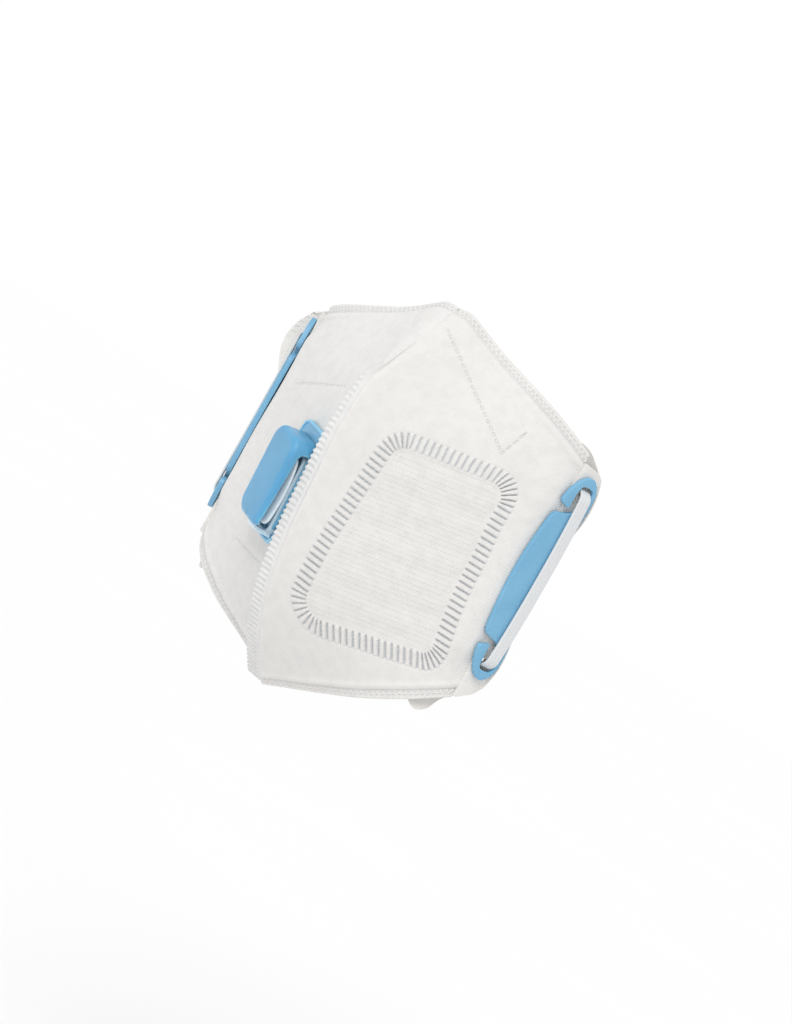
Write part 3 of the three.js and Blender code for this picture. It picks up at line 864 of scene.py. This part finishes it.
def lining(name, right):
    """The plain inside of a panel."""
    s = stations([(0, 0.12, 10), (0.12, 1, 36)])
    v = stations([(0.006, 0.05, 6), (0.05, 0.95, 70), (0.95, 0.994, 6)])
    grid_s, grid_v = np.meshgrid(s, v, indexing="ij")
    base = panel_point(grid_s, grid_v, right)
    normal = facing(base)
    a = lengths(base)
    depth = np.full_like(a, PANEL_WALL)
    if not right:
        depth += RIGHT_RECESS * folded(grid_v) * (1 - smooth_step(0, 10, a))
    depth += 0.28 * fold_radius(grid_v) * (1 - smooth_step(0, 8, a)) * (1 - folded(grid_v))
    depth += 0.15 * ripple(a, base[..., 2])
    base = base + seam_facing(grid_v) * nose_lift(grid_v, a)[..., None]
    grid = base - normal * depth[..., None]
    grid[0, :, 0] = 0
    facts = {"flat": per_point(a, base[..., 2], 0)}
    points, quads = on_side(grid, grid_quads(*grid.shape[:2])[:, ::-1], right)
    return place(make_object(name, points, quads, facts), inner_cloth, "filter_cloth")


panel(
    "left_panel",
    False,
    [(0, 0.10, 14), (0.10, 0.90, 172), (0.90, 1, 12)],
    [(0, 0.028, 16), (0.028, 0.14, 40), (0.14, 0.79, 272), (0.79, 0.972, 70), (0.972, 1, 16)],
    near_cloth,
    "panel_left",
)
panel(
    "right_panel",
    True,
    [(0, 0.9, 96), (0.9, 1, 10)],
    [(0, 0.03, 14), (0.03, 0.97, 210), (0.97, 1, 14)],
    far_cloth_shaded,
    "panel_right",
)
lining("left_lining", False)
lining("right_lining", True)

# ---- seam strip

STRIP_WALL = 1.0
STRIP_TOP = 0.75
STRIP_FOLDED_TURN = 96 * DEGREE
STRIP_STANDING_TURN = 6 * DEGREE
STRIP_PITCH = 2.3
STRIP_SMOOTH = 2.6
STRIP_CHIN_WIDTH, STRIP_BEND_WIDTH, STRIP_STANDING_WIDTH = 8.9, 5.3, 1.1
STRIP_STANDING_WALL = 0.8
# How far the standing edge starts below the round of the seam.
STRIP_SUNK = 0.35


def seam_strip():
    """The welded margin of the seam: folded over below the nose bend, standing above it."""
    v = stations([(0.002, 0.8, 640), (0.8, 0.93, 90)])
    grid_c, grid_v = np.meshgrid(np.linspace(0, 1, 27), v, indexing="ij")
    fold = folded(grid_v)
    out = seam_facing(grid_v)
    turn = mix(STRIP_STANDING_TURN, STRIP_FOLDED_TURN, fold)
    along_seam = grid_v * SEAM_LENGTH
    ribs = np.cos(along_seam / STRIP_PITCH * 2 * np.pi)
    folded_width = mix(STRIP_CHIN_WIDTH, STRIP_BEND_WIDTH, np.clip(grid_v / BEND_START, 0, 1))
    folded_width = folded_width + 0.28 * ribs + 0.25 * np.sin(along_seam / 13)
    standing = STRIP_STANDING_WIDTH * (1 - smooth_step(0.80, 0.90, grid_v)) + 0.1
    standing = standing + 0.22 * np.cos(along_seam * 2 * np.pi / 1.7)
    width = mix(standing, folded_width, fold)
    lead = out * np.cos(turn)[..., None]
    lead[..., 0] = -np.sin(turn)
    face = out * np.sin(turn)[..., None]
    face[..., 0] = np.cos(turn)
    root_out = mix(-nose_drop(grid_v) - STRIP_SUNK, -STRIP_TOP, fold)
    root = seam_at(grid_v) + out * (root_out + nose_lift(grid_v, 0))[..., None]
    root[..., 0] -= mix(0.0, 0.3, fold)
    reach = grid_c * width
    across = smooth_step(STRIP_SMOOTH - 0.5, STRIP_SMOOTH + 0.6, reach)
    edge = 1 - smooth_step(0.80, 1.0, grid_c)
    relief = fold * across * (0.29 * ribs * mix(0.6, 1, edge) - 0.05)
    relief += fold * 0.16 * np.exp(-(((reach - STRIP_SMOOTH + 0.4) / 0.8) ** 2))
    relief += 0.1 * np.sin(along_seam / 9 + 1.0) * fold
    thickness = mix(STRIP_STANDING_WALL, STRIP_WALL, fold)
    rim = np.sqrt(np.clip(1 - ((grid_c - 0.93) / 0.07).clip(0, 1) ** 2, 0.02, 1))
    middle = root + lead * reach[..., None]
    outer = middle + face * (relief - thickness * (1 - rim) / 2)[..., None]
    inner = middle - face * (thickness * (1 + rim) / 2)[..., None]
    # The standing edge straddles the seam; the folded one lies behind it.
    centred = face * ((1 - fold) * thickness / 2)[..., None]
    points = np.concatenate([outer + centred, inner + centred]).reshape(-1, 3)
    rows, columns = grid_c.shape
    count = rows * columns
    front = grid_quads(rows, columns)
    back = grid_quads(rows, columns, count)[:, ::-1]
    free = np.arange(count - columns, count)
    close = np.stack([free[:-1], free[:-1] + count, free[1:] + count, free[1:]], -1)
    flat = np.tile(per_point(reach, along_seam, grid_v), (2, 1))
    piece = make_object("front_seam_strip", points, [*front, *back, *close], {"flat": flat})
    return place(piece, strip_cloth, "welded_cloth", "seam_strip")


seam_strip()

# ---- cheek flaps

# A row is a line along the rolled flap: its place across and out near the lower hook, at half
# height and near the upper hook, the right one's flare there, and the heights of its two ends.
FLAP_LINES = [
    ((-4.7, -0.5), (-4.7, -0.5), (-4.7, -0.5), (0, 0), -53, 47),
    ((-3.2, -0.3), (-3.4, -0.3), (-3.2, -0.3), (0, 0), -53, 47),
    ((4.2, -0.3), (0.6, -0.4), (4.2, -0.3), (0, 0), -50, 46),
    ((5.9, -0.3), (2.2, -0.9), (5.9, -0.3), (0, 0), -48, 45),
    ((6.6, 1.0), (2.8, -2.2), (6.6, 1.4), (-0.1, 2.4), -46, 44),
    ((7.2, 0.4), (3.0, -3.6), (7.2, 0.8), (0.2, 7.8), -46, 45),
    ((6.8, -2.4), (2.4, -5.2), (6.8, -2.0), (2.6, 9.4), -48, 47),
    ((5.4, -6.0), (0.6, -6.4), (5.6, -5.8), (4.0, 7.0), -52, 50),
    ((4.2, -7.4), (-1.4, -7.4), (4.3, -7.6), (0.6, 0), -56, 52),
    ((-3.2, -9.4), (-5.0, -8.4), (-3.2, -9.6), (0, 0), -62, 53),
    ((-9.0, -10.8), (-10.0, -9.8), (-9.0, -11.0), (0, 0), -65, 53),
    ((-15.0, -12.2), (-15.0, -11.4), (-15.0, -12.4), (0, 0), -63, 51),
]
FLAP_LOW, FLAP_MIDDLE, FLAP_HIGH, FLAP_END_REACH = -34, -3, 32, 20
FLAP_WALL = 0.9
FLAP_FRONT_WALL = 1.5
SLOT_LOW, SLOT_HIGH = 35.2, 39.8
# The slots lie between each of these lines and the next.
SLOT_LINES = (1, 8)


def between_lines(values, line):
    """Values of a table's lines, smoothly in between, at fractional line numbers."""
    values = np.asarray(values, float)
    i = np.clip(np.floor(line).astype(int), 0, len(values) - 2)
    t = line - i
    p0, p1 = values[np.maximum(i - 1, 0)], values[i]
    p2, p3 = values[i + 1], values[np.minimum(i + 2, len(values) - 1)]
    square = 2 * p0 - 5 * p1 + 4 * p2 - p3
    cube = 3 * (p1 - p2) + p3 - p0
    return 0.5 * (2 * p1 + (p2 - p0) * t + square * t**2 + cube * t**3)


def flap_heights(bottom, top):
    """Heights along each line of a flap, closer together at the slots and near the ends."""
    marks = np.array([0, 0.13, 0.26, 0.4, 0.55, 0.7, 0.85, 1])
    inner = np.concatenate(
        [
            [-SLOT_HIGH - 3, -SLOT_HIGH],
            np.linspace(-SLOT_HIGH, -SLOT_LOW, 5)[1:],
            np.linspace(-SLOT_LOW, SLOT_LOW, 64)[1:],
            np.linspace(SLOT_LOW, SLOT_HIGH, 5)[1:],
            [SLOT_HIGH + 3],
        ]
    )
    low_end = mix(bottom, inner[0], marks[:-1])
    high_end = mix(inner[-1], top, marks[1:])
    return np.concatenate([low_end, np.tile(inner, (len(bottom), 1)), high_end], axis=1)


def flap(name, right, node):
    """The strip of cloth rolled round a cheek edge. Only the right one flares."""
    line = stations([(k, k + 1, 3 if k < 2 else 8) for k in range(len(FLAP_LINES) - 1)])[:, None]
    table = np.array([[*low, *mid, *up, *flare, *ends] for low, mid, up, flare, *ends in FLAP_LINES], float)
    low_across, low_out, mid_across, mid_out, up_across, up_out, flare_across, flare_out, bottom, top = (
        between_lines(values, line) for values in table.T
    )
    height = flap_heights(bottom, top)
    below = height < FLAP_MIDDLE
    hook = np.where(below, FLAP_LOW, FLAP_HIGH)
    beyond = np.maximum(0, np.where(below, hook - height, height - hook))
    share = smooth_step(FLAP_MIDDLE, hook, height) * (1 - (beyond / FLAP_END_REACH) ** 2)
    flare = float(right)
    across = mix(mid_across, np.where(below, low_across, up_across + flare_across * flare), share)
    out = mix(mid_out, np.where(below, low_out, up_out + flare_out * flare), share)
    soft = 0.22 * np.sin(height / 6.3 + line * 0.9) * np.clip((line - 3) / 2, 0, 1)
    outer = on_cheek(across + soft * 0.5, out + soft, height)
    wall = mix(FLAP_FRONT_WALL, FLAP_WALL, smooth_step(1, 3, line))[..., None]
    inner = outer - facing(outer) * wall
    middle_height = np.abs(height[:-1, :-1] + height[1:, 1:]) / 2
    in_slot = (middle_height > SLOT_LOW) & (middle_height < SLOT_HIGH)
    in_slot &= np.isin(np.floor((line[:-1] + line[1:]) / 2), SLOT_LINES)
    off_end = np.minimum(height - height[:, :1], height[:, -1:] - height)
    # Dots show on the lines round the rolled edge, beyond the hooks.
    shown = smooth_step(3.4, 4.2, line) * (1 - smooth_step(6.4, 7.4, line))
    shown = shown * smooth_step(30, 34, np.abs(height))
    edge_off = np.abs(line - 5.0) * 2.4 + 0.2
    facts = {
        "flat": np.tile(per_point(lengths(outer), height, off_end), (2, 1)),
        "hem": np.tile(per_point(height, edge_off, shown), (2, 1)),
    }
    points, faces = on_side(*doubled(outer, inner, ~in_slot), right)
    return place(make_object(name, points, faces, facts, 55), flap_cloth, "flap_cloth", node)


flap("left_cheek_flap", False, "cheek_flap_left")
flap("right_cheek_flap", True, "cheek_flap_right")

# ---- strap clips

CLIP_BACK, CLIP_FRONT = 0.05, 2.2
CORNER_CUT, SHARP_CORNER_CUT = 0.25, 0.10
# The upper half of a clip's outline: (across, up, how sharp the corner stays).
CLIP_OUTLINE = [
    (3.7, 0, 0),
    (4.1, 14, 0),
    (4.9, 26, 0),
    (5.6, 34, 0),
    (4.7, 39.6, 0),
    (1.6, 43.2, 0),
    (-1.4, 43.2, 0),
    (-4.6, 40.4, 0),
    (-6.8, 36.0, 0),
    (-7.8, 31.8, 1),
    (-7.2, 30.4, 1),
    (-3.2, 29.2, 1),
    (-3.3, 34.0, 0),
    (-2.9, 38.2, 0),
    (-1.6, 39.4, 0),
    (2.2, 39.4, 0),
    (3.5, 38.2, 0),
    (3.7, 34.0, 0),
    (2.4, 30.4, 0),
    (-1.6, 27.6, 0),
    (-7.2, 26.2, 1),
    (-8.5, 24.6, 1),
    (-10.0, 14, 0),
    (-10.7, 5, 0),
]


def eased(outline):
    """Cuts the corners of a closed outline twice, less where a corner stays sharp."""
    outline = [(np.array(point[:2], float), point[2]) for point in outline]
    for _ in range(2):
        cut = []
        for k, (point, sharp) in enumerate(outline):
            before = outline[k - 1][0]
            after = outline[(k + 1) % len(outline)][0]
            share = SHARP_CORNER_CUT if sharp else CORNER_CUT
            cut.append((mix(point, before, share), sharp))
            cut.append((mix(point, after, share), sharp))
        outline = cut
    return [point for point, _ in outline]


def clip(name, right, node):
    """A flat clip with a hook at each end."""
    lower = [(a, -u, sharp) for a, u, sharp in reversed(CLIP_OUTLINE[1:])]
    outline = eased(CLIP_OUTLINE + lower)
    count = len(outline)
    sides = (CLIP_BACK, CLIP_FRONT)
    points = np.array([on_cheek(across, out, up) for out in sides for across, up in outline])
    faces = [list(range(count)), list(range(2 * count - 1, count - 1, -1))]
    faces += [[k, k + count, (k + 1) % count + count, (k + 1) % count] for k in range(count)]
    piece = make_object(name, *on_side(points, faces, right))
    edged(piece, 0.45, sharp=30, segments=4, limit=50)
    return place(piece, clip_plastic, "clip_plastic", node)


clip("left_strap_clip", False, "strap_clip_left")
clip("right_strap_clip", True, "strap_clip_right")

# ---- head strap

STRAP_WIDTH = 5.2
STRAP_THICKNESS = 1.0
STRAP_TWIST_FROM, STRAP_TWIST_TO = 10, 34
STRAP_SAMPLES = 640
STRAP_CORDS = 9
# (across, out, up) on the left cheek, from the upper slot over the clip to the lower slot.
STRAP_FRONT = [
    (1.0, -13, 36.5),
    (0.6, -6, 37.6),
    (0.4, 0.6, 37.6),
    (0.6, 2.9, 35.6),
    (1.0, 3.15, 31),
    (1.7, 3.15, 12),
    (1.7, 3.15, -12),
    (1.0, 3.15, -31),
    (0.6, 2.9, -35.6),
    (0.4, 0.6, -37.6),
    (0.6, -6, -37.6),
    (1.0, -13, -38.6),
]
# Each band behind the cup: half span, y and z there, then y and z in the middle.
UPPER_BAND = (50, 28, 31, 74, 14)
LOWER_BAND = (49, 27, -42, 70, -56)


def band_stop(band, share):
    """A stop on a band, at a share of its half span from the middle."""
    half, y, z, middle_y, middle_z = band
    return [half * share, mix(middle_y, y, share**2), mix(middle_z, z, share**2)]


def strap():
    """The loop of flat elastic. It lies flat on the cheeks, and stands on edge behind the cup."""
    front = [on_cheek(*stop) for stop in STRAP_FRONT]
    left = [band_stop(UPPER_BAND, 0.55), band_stop(UPPER_BAND, 1), *front]
    left += [band_stop(LOWER_BAND, 1), band_stop(LOWER_BAND, 0.55)]
    right = [mirrored(np.array(stop)) for stop in reversed(left)]
    stops = [band_stop(UPPER_BAND, 0), *left, band_stop(LOWER_BAND, 0), *right]
    fine = through(stops, closed=True)
    fine = np.concatenate([fine, fine[:1]])
    reach = lengths(fine)
    at = np.linspace(0, reach[-1], STRAP_SAMPLES, endpoint=False)
    centre = np.stack([np.interp(at, reach, fine[:, k]) for k in range(3)], -1)
    along = unit(np.roll(centre, -1, axis=0) - np.roll(centre, 1, axis=0))
    twist = smooth_step(STRAP_TWIST_FROM, STRAP_TWIST_TO, centre[:, 1])[:, None]
    cheek = np.zeros_like(centre)
    cheek[:, 0] = math.cos(CHEEK_TURN) * np.sign(centre[:, 0])
    cheek[:, 1] = math.sin(CHEEK_TURN)
    width = square_to(along, cheek * (1 - twist) + np.array([0, 0, 1.0]) * twist)
    face = np.cross(width, along)
    across = np.linspace(-1, 1, 15)
    cords = 0.08 * np.cos(across * STRAP_CORDS * np.pi)
    edge = np.sqrt(np.clip(1 - (np.abs(across) / 1.02) ** 8, 0, 1))
    half = STRAP_THICKNESS / 2 * (0.25 + 0.75 * edge) + cords
    # The section runs across the outside and back along the inside.
    section_across = np.concatenate([across, across[::-1]]) * STRAP_WIDTH / 2
    section_out = np.concatenate([half, -half[::-1]])
    rings = centre[:, None] + width[:, None] * section_across[:, None]
    rings = rings + face[:, None] * section_out[:, None]
    index = np.arange(STRAP_SAMPLES * len(section_across)).reshape(STRAP_SAMPLES, -1)
    ahead = np.roll(index, -1, axis=0)
    quads = np.stack([index, np.roll(index, -1, axis=1), np.roll(ahead, -1, axis=1), ahead], -1)
    flat = per_point(at[:, None], section_across, 0)
    piece = make_object("elastic_strap", rings, quads.reshape(-1, 4), {"flat": flat}, 50)
    return place(piece, elastic, "elastic", "head_strap")


strap()

# ---- valve

VALVE_ALONG = 0.202
VALVE_HEIGHT = 0.462
VALVE_LIFT = 0.6


def valve_matrix():
    """The valve's axes on the right panel, and its origin."""
    def at(s, v):
        return mirrored(panel_point(s, v, True))

    step = 0.02
    x = at(VALVE_ALONG - step, VALVE_HEIGHT) - at(VALVE_ALONG + step, VALVE_HEIGHT)
    upwards = at(VALVE_ALONG, VALVE_HEIGHT + step) - at(VALVE_ALONG, VALVE_HEIGHT - step)
    x = x / np.linalg.norm(x)
    z = np.cross(x, upwards)
    z /= np.linalg.norm(z)
    y = np.cross(z, x)
    origin = at(VALVE_ALONG, VALVE_HEIGHT) + z * VALVE_LIFT
    return np.stack([x, y, z], 1), origin


VALVE_AXES, VALVE_ORIGIN = valve_matrix()


def on_valve(points):
    """Points of the valve's own frame, in the mask's frame."""
    return np.asarray(points, float) @ VALVE_AXES.T + VALVE_ORIGIN


def rounded_ring(width, length, corner, z, shift=0.0, corner_steps=8):
    """A loop of points round a rounded rectangle at height z."""
    corner = min(corner, width / 2 - 0.01, length / 2 - 0.01)
    points = []
    quarters = ((1, 1, 0), (-1, 1, 90), (-1, -1, 180), (1, -1, 270))
    for sx, sy, first in quarters:
        for k in range(corner_steps + 1):
            angle = (first + 90 * k / corner_steps) * DEGREE
            x = sx * (width / 2 - corner) + corner * math.cos(angle)
            y = sy * (length / 2 - corner) + corner * math.sin(angle) + shift
            points.append((x, y, z))
    return points


def lofted(name, rings):
    """A closed solid through rings of points, with flat ends."""
    count = len(rings[0])
    points = [point for ring in rings for point in ring]
    faces = [list(range(count))[::-1]]
    for r in range(len(rings) - 1):
        for k in range(count):
            a = r * count + k
            b = r * count + (k + 1) % count
            faces.append([a, b, b + count, a + count])
    faces.append(list(range((len(rings) - 1) * count, len(rings) * count)))
    return make_object(name, on_valve(points), faces)


def dome_rings(width, length, corner, low, high, round_by):
    """Rings of a box of the hood's shape, with its upper edges rounded."""
    rings = [rounded_ring(width, length, corner, low, HOOD_SHIFT)]
    steps = 8
    for k in range(steps + 1):
        angle = 90 * DEGREE * k / steps
        inset = round_by * (1 - math.cos(angle))
        z = high - round_by + round_by * math.sin(angle)
        tighter = max(corner - inset * 0.6, 0.6)
        rings.append(rounded_ring(width - 2 * inset, length - 2 * inset, tighter, z, HOOD_SHIFT))
    return rings


def block(name, low, high):
    """A plain box in the valve's frame, used only to cut with."""
    corners = list(itertools.product(*zip(low, high)))
    faces = [[0, 1, 3, 2], [4, 6, 7, 5], [0, 4, 5, 1], [2, 3, 7, 6], [0, 2, 6, 4], [1, 5, 7, 3]]
    return make_object(name, on_valve(corners), faces)


def cut_away(piece, cutters):
    """Takes the cutters' space out of a piece."""
    for cutter in cutters:
        cut = piece.modifiers.new("cut", "BOOLEAN")
        cut.operation = "DIFFERENCE"
        cut.solver = "EXACT"
        cut.object = cutter
    settle(piece)
    for cutter in cutters:
        bpy.data.objects.remove(cutter)


HOOD_WIDTH, HOOD_LENGTH, HOOD_TOP, HOOD_SHIFT = 23.2, 37.2, 11.2, -0.3
HOOD_WALL = 1.2
BASE_TOP = 2.0
# Rings of the base plate and of the rim: (width, length, corner radius, height).
PLATE_RINGS = [
    (22.6, 46.6, 5, 0),
    (23, 47, 5, 0.3),
    (23, 47, 5, BASE_TOP - 0.4),
    (22.4, 46.4, 4.7, BASE_TOP),
]
RIM_RINGS = [
    (20, 34, 4, BASE_TOP - 0.5),
    (20, 34, 4, BASE_TOP + 2.0),
    (19.6, 33.6, 3.8, BASE_TOP + 2.4),
]
RIM_SHIFT = -3.4
WINDOW_HALF_WIDTH, WINDOW_HALF_LENGTH, WINDOW_PLACE = 3, 11, 4.2
LIP_FOOT, LIP_THICKNESS, LIP_LEAN = -20.4, 1.2, -0.5
DIAPHRAGM_HALF_WIDTH, DIAPHRAGM_HALF_LENGTH, DIAPHRAGM_SHIFT = 9.6, 14, -2.8
DIAPHRAGM_HEIGHT, DIAPHRAGM_WALL = 6.7, 0.9


def valve_hood():
    """The hood: a shell, open along both sides and at its lower end."""
    outside = dome_rings(HOOD_WIDTH, HOOD_LENGTH, 6, BASE_TOP + 0.2, HOOD_TOP, 2.4)
    wide, long = HOOD_WIDTH - 2 * HOOD_WALL, HOOD_LENGTH - 2 * HOOD_WALL
    inside = dome_rings(wide, long, 5, -1, HOOD_TOP - HOOD_WALL, 1.6)
    piece = lofted("valve_hood_shell", outside)
    end = block("cut_end", (-9.8, -30, -1), (9.8, -14, 8.8))
    cut_away(piece, [lofted("cut_inside", inside), side_opening(), end])
    return place(edged(piece, 0.18), hood_plastic, "valve_plastic", "valve_hood")


def side_opening():
    """The long opening through both sides. Its upper border falls towards the nose."""
    low_y, high_y, low_z, high_z = -17.4, 13.4, 3.5, 9.3
    upper_corner, lower_corner = 2.4, 0.6
    nose_fall, chin_rise = 1.7, 0.2
    quarters = (
        (high_y - upper_corner, high_z - upper_corner - nose_fall, upper_corner),
        (low_y + upper_corner, high_z - upper_corner + chin_rise, upper_corner),
        (low_y + lower_corner, low_z + lower_corner, lower_corner),
        (high_y - lower_corner, low_z + lower_corner, lower_corner),
    )
    profile = []
    for quarter, (centre_y, centre_z, reach) in enumerate(quarters):
        for k in range(7):
            angle = (90 * quarter + 90 * k / 6) * DEGREE
            profile.append((centre_y + reach * math.cos(angle), centre_z + reach * math.sin(angle)))
    return lofted("cut_side", [[(x, y, z) for y, z in profile] for x in (-20, 20)])


def valve_base():
    """The base plate with its well and windows, and the rim on it."""
    plate = lofted("valve_base_plate", [rounded_ring(*ring) for ring in PLATE_RINGS])
    cutters = [lofted("well", [rounded_ring(20.6, 44.6, 4, z) for z in (BASE_TOP - 0.45, BASE_TOP + 2)])]
    for x in (-WINDOW_PLACE, WINDOW_PLACE):
        low = (x - WINDOW_HALF_WIDTH, -WINDOW_HALF_LENGTH, -2)
        high = (x + WINDOW_HALF_WIDTH, WINDOW_HALF_LENGTH, 4)
        cutters.append(block("window", low, high))
    cut_away(plate, cutters)
    place(edged(plate, 0.12), base_plastic, "valve_plastic", "valve_base")

    rim = lofted("valve_rim", [rounded_ring(*ring, RIM_SHIFT) for ring in RIM_RINGS])
    bore = [rounded_ring(17.2, 31.2, 2.6, z, RIM_SHIFT) for z in (BASE_TOP - 2, BASE_TOP + 5)]
    cut_away(rim, [lofted("bore", bore)])
    place(edged(rim, 0.15), pale_lip_painted_light, "valve_plastic")


def valve_lip():
    """The pale curved lip that closes the rim's lower end."""
    angles = np.linspace(0, math.pi, 25)
    outer = [(8.6 * math.cos(t), 6.2 * math.sin(t)) for t in angles]
    inner = [(7.5 * math.cos(t), 5.2 * math.sin(t) - 0.6) for t in angles]
    points = []
    for y in (LIP_FOOT + LIP_LEAN, LIP_FOOT + LIP_THICKNESS):
        points += [(x, y, BASE_TOP + z) for x, z in outer + inner]
    n = len(angles)
    faces = []
    for k in range(n - 1):
        faces.append([k, k + 1, n + k + 1, n + k][::-1])
        faces.append([2 * n + k, 2 * n + k + 1, 3 * n + k + 1, 3 * n + k])
        faces.append([k, k + 1, 2 * n + k + 1, 2 * n + k])
        faces.append([n + k, n + k + 1, 3 * n + k + 1, 3 * n + k][::-1])
    faces.append([0, n, 3 * n, 2 * n])
    faces.append([n - 1, 2 * n - 1, 4 * n - 1, 3 * n - 1][::-1])
    piece = make_object("valve_lip", on_valve(points), faces)
    place(edged(piece, 0.2, sharp=40), pale_lip_painted_light, "valve_plastic")


def valve_diaphragm():
    """The thin flap that rests over the rim, curved down along both sides."""
    x, y = np.meshgrid(np.linspace(-1, 1, 25), np.linspace(-1, 1, 41), indexing="ij")
    corner = np.clip((np.abs(y) - 0.8) / 0.2, 0, 1)
    wide = DIAPHRAGM_HALF_WIDTH * np.sqrt(1 - 0.35 * corner**2)
    z = DIAPHRAGM_HEIGHT - 2.2 * np.abs(x) ** 3 + 1.3 * y**2
    outer = np.stack([x * wide, y * DIAPHRAGM_HALF_LENGTH + DIAPHRAGM_SHIFT, z + DIAPHRAGM_WALL], -1)
    points, faces = doubled(outer, outer - np.array([0, 0, DIAPHRAGM_WALL]))
    piece = make_object("valve_flap", on_valve(points), faces, None, 50)
    return place(piece, milky, "silicone", "valve_diaphragm")


valve_hood()
valve_base()
valve_lip()
valve_diaphragm()

# ---- stage and light

FLOOR_HEIGHT = -0.32
FLOOR_REACH = 9e3
# The world's light on the mask, and how much brighter the camera sees it.
WORLD_LIGHT = 0.78
BACKDROP_EXTRA = 0.24


def stage():
    """A pale paper floor far below."""
    nodes = Nodes("floor_paper")
    mottle = nodes.noise(nodes.node("ShaderNodeTexCoord", output="Object"), 3.0, 2.0)
    colour = nodes.colour(mottle, (0.93, 0.93, 0.93), (0.95, 0.95, 0.95))
    paper = nodes.finish(colour=colour, roughness=0.9, specular=0.0)
    corners = [(x * FLOOR_REACH, y * FLOOR_REACH, 0) for x, y in ((-1, -1), (1, -1), (1, 1), (-1, 1))]
    floor = make_object("floor", corners, [[0, 1, 2, 3]])
    floor.location.z = FLOOR_HEIGHT
    floor.data.materials.append(paper)


def sun(name, azimuth, elevation, strength, angle):
    """A sun, with its angles in degrees."""
    data = bpy.data.lights.new(name, "SUN")
    data.energy = strength
    data.angle = angle * DEGREE
    lamp = bpy.data.objects.new(name, data)
    towards = direction(azimuth * DEGREE, elevation * DEGREE)
    lamp.rotation_euler = towards.to_track_quat("Z", "Y").to_euler()
    bpy.context.collection.objects.link(lamp)


stage()
sun("key", azimuth=10, elevation=40, strength=1.35, angle=34)

world = bpy.data.worlds.new("studio")
bpy.context.scene.world = world
world.use_nodes = True
world.node_tree.nodes["Background"].inputs["Color"].default_value = (1, 1, 1, 1)
# The backdrop shows pure white, and lights the mask a little less, so that its relief reads.
world_nodes = world.node_tree.nodes
seen = world_nodes.new("ShaderNodeLightPath").outputs["Is Camera Ray"]
strength = world_nodes.new("ShaderNodeMath")
strength.operation = "MULTIPLY_ADD"
strength.inputs[1].default_value = BACKDROP_EXTRA
strength.inputs[2].default_value = WORLD_LIGHT
world.node_tree.links.new(seen, strength.inputs[0])
world.node_tree.links.new(strength.outputs[0], world_nodes["Background"].inputs["Strength"])
bpy.context.scene.view_settings.view_transform = "Standard"
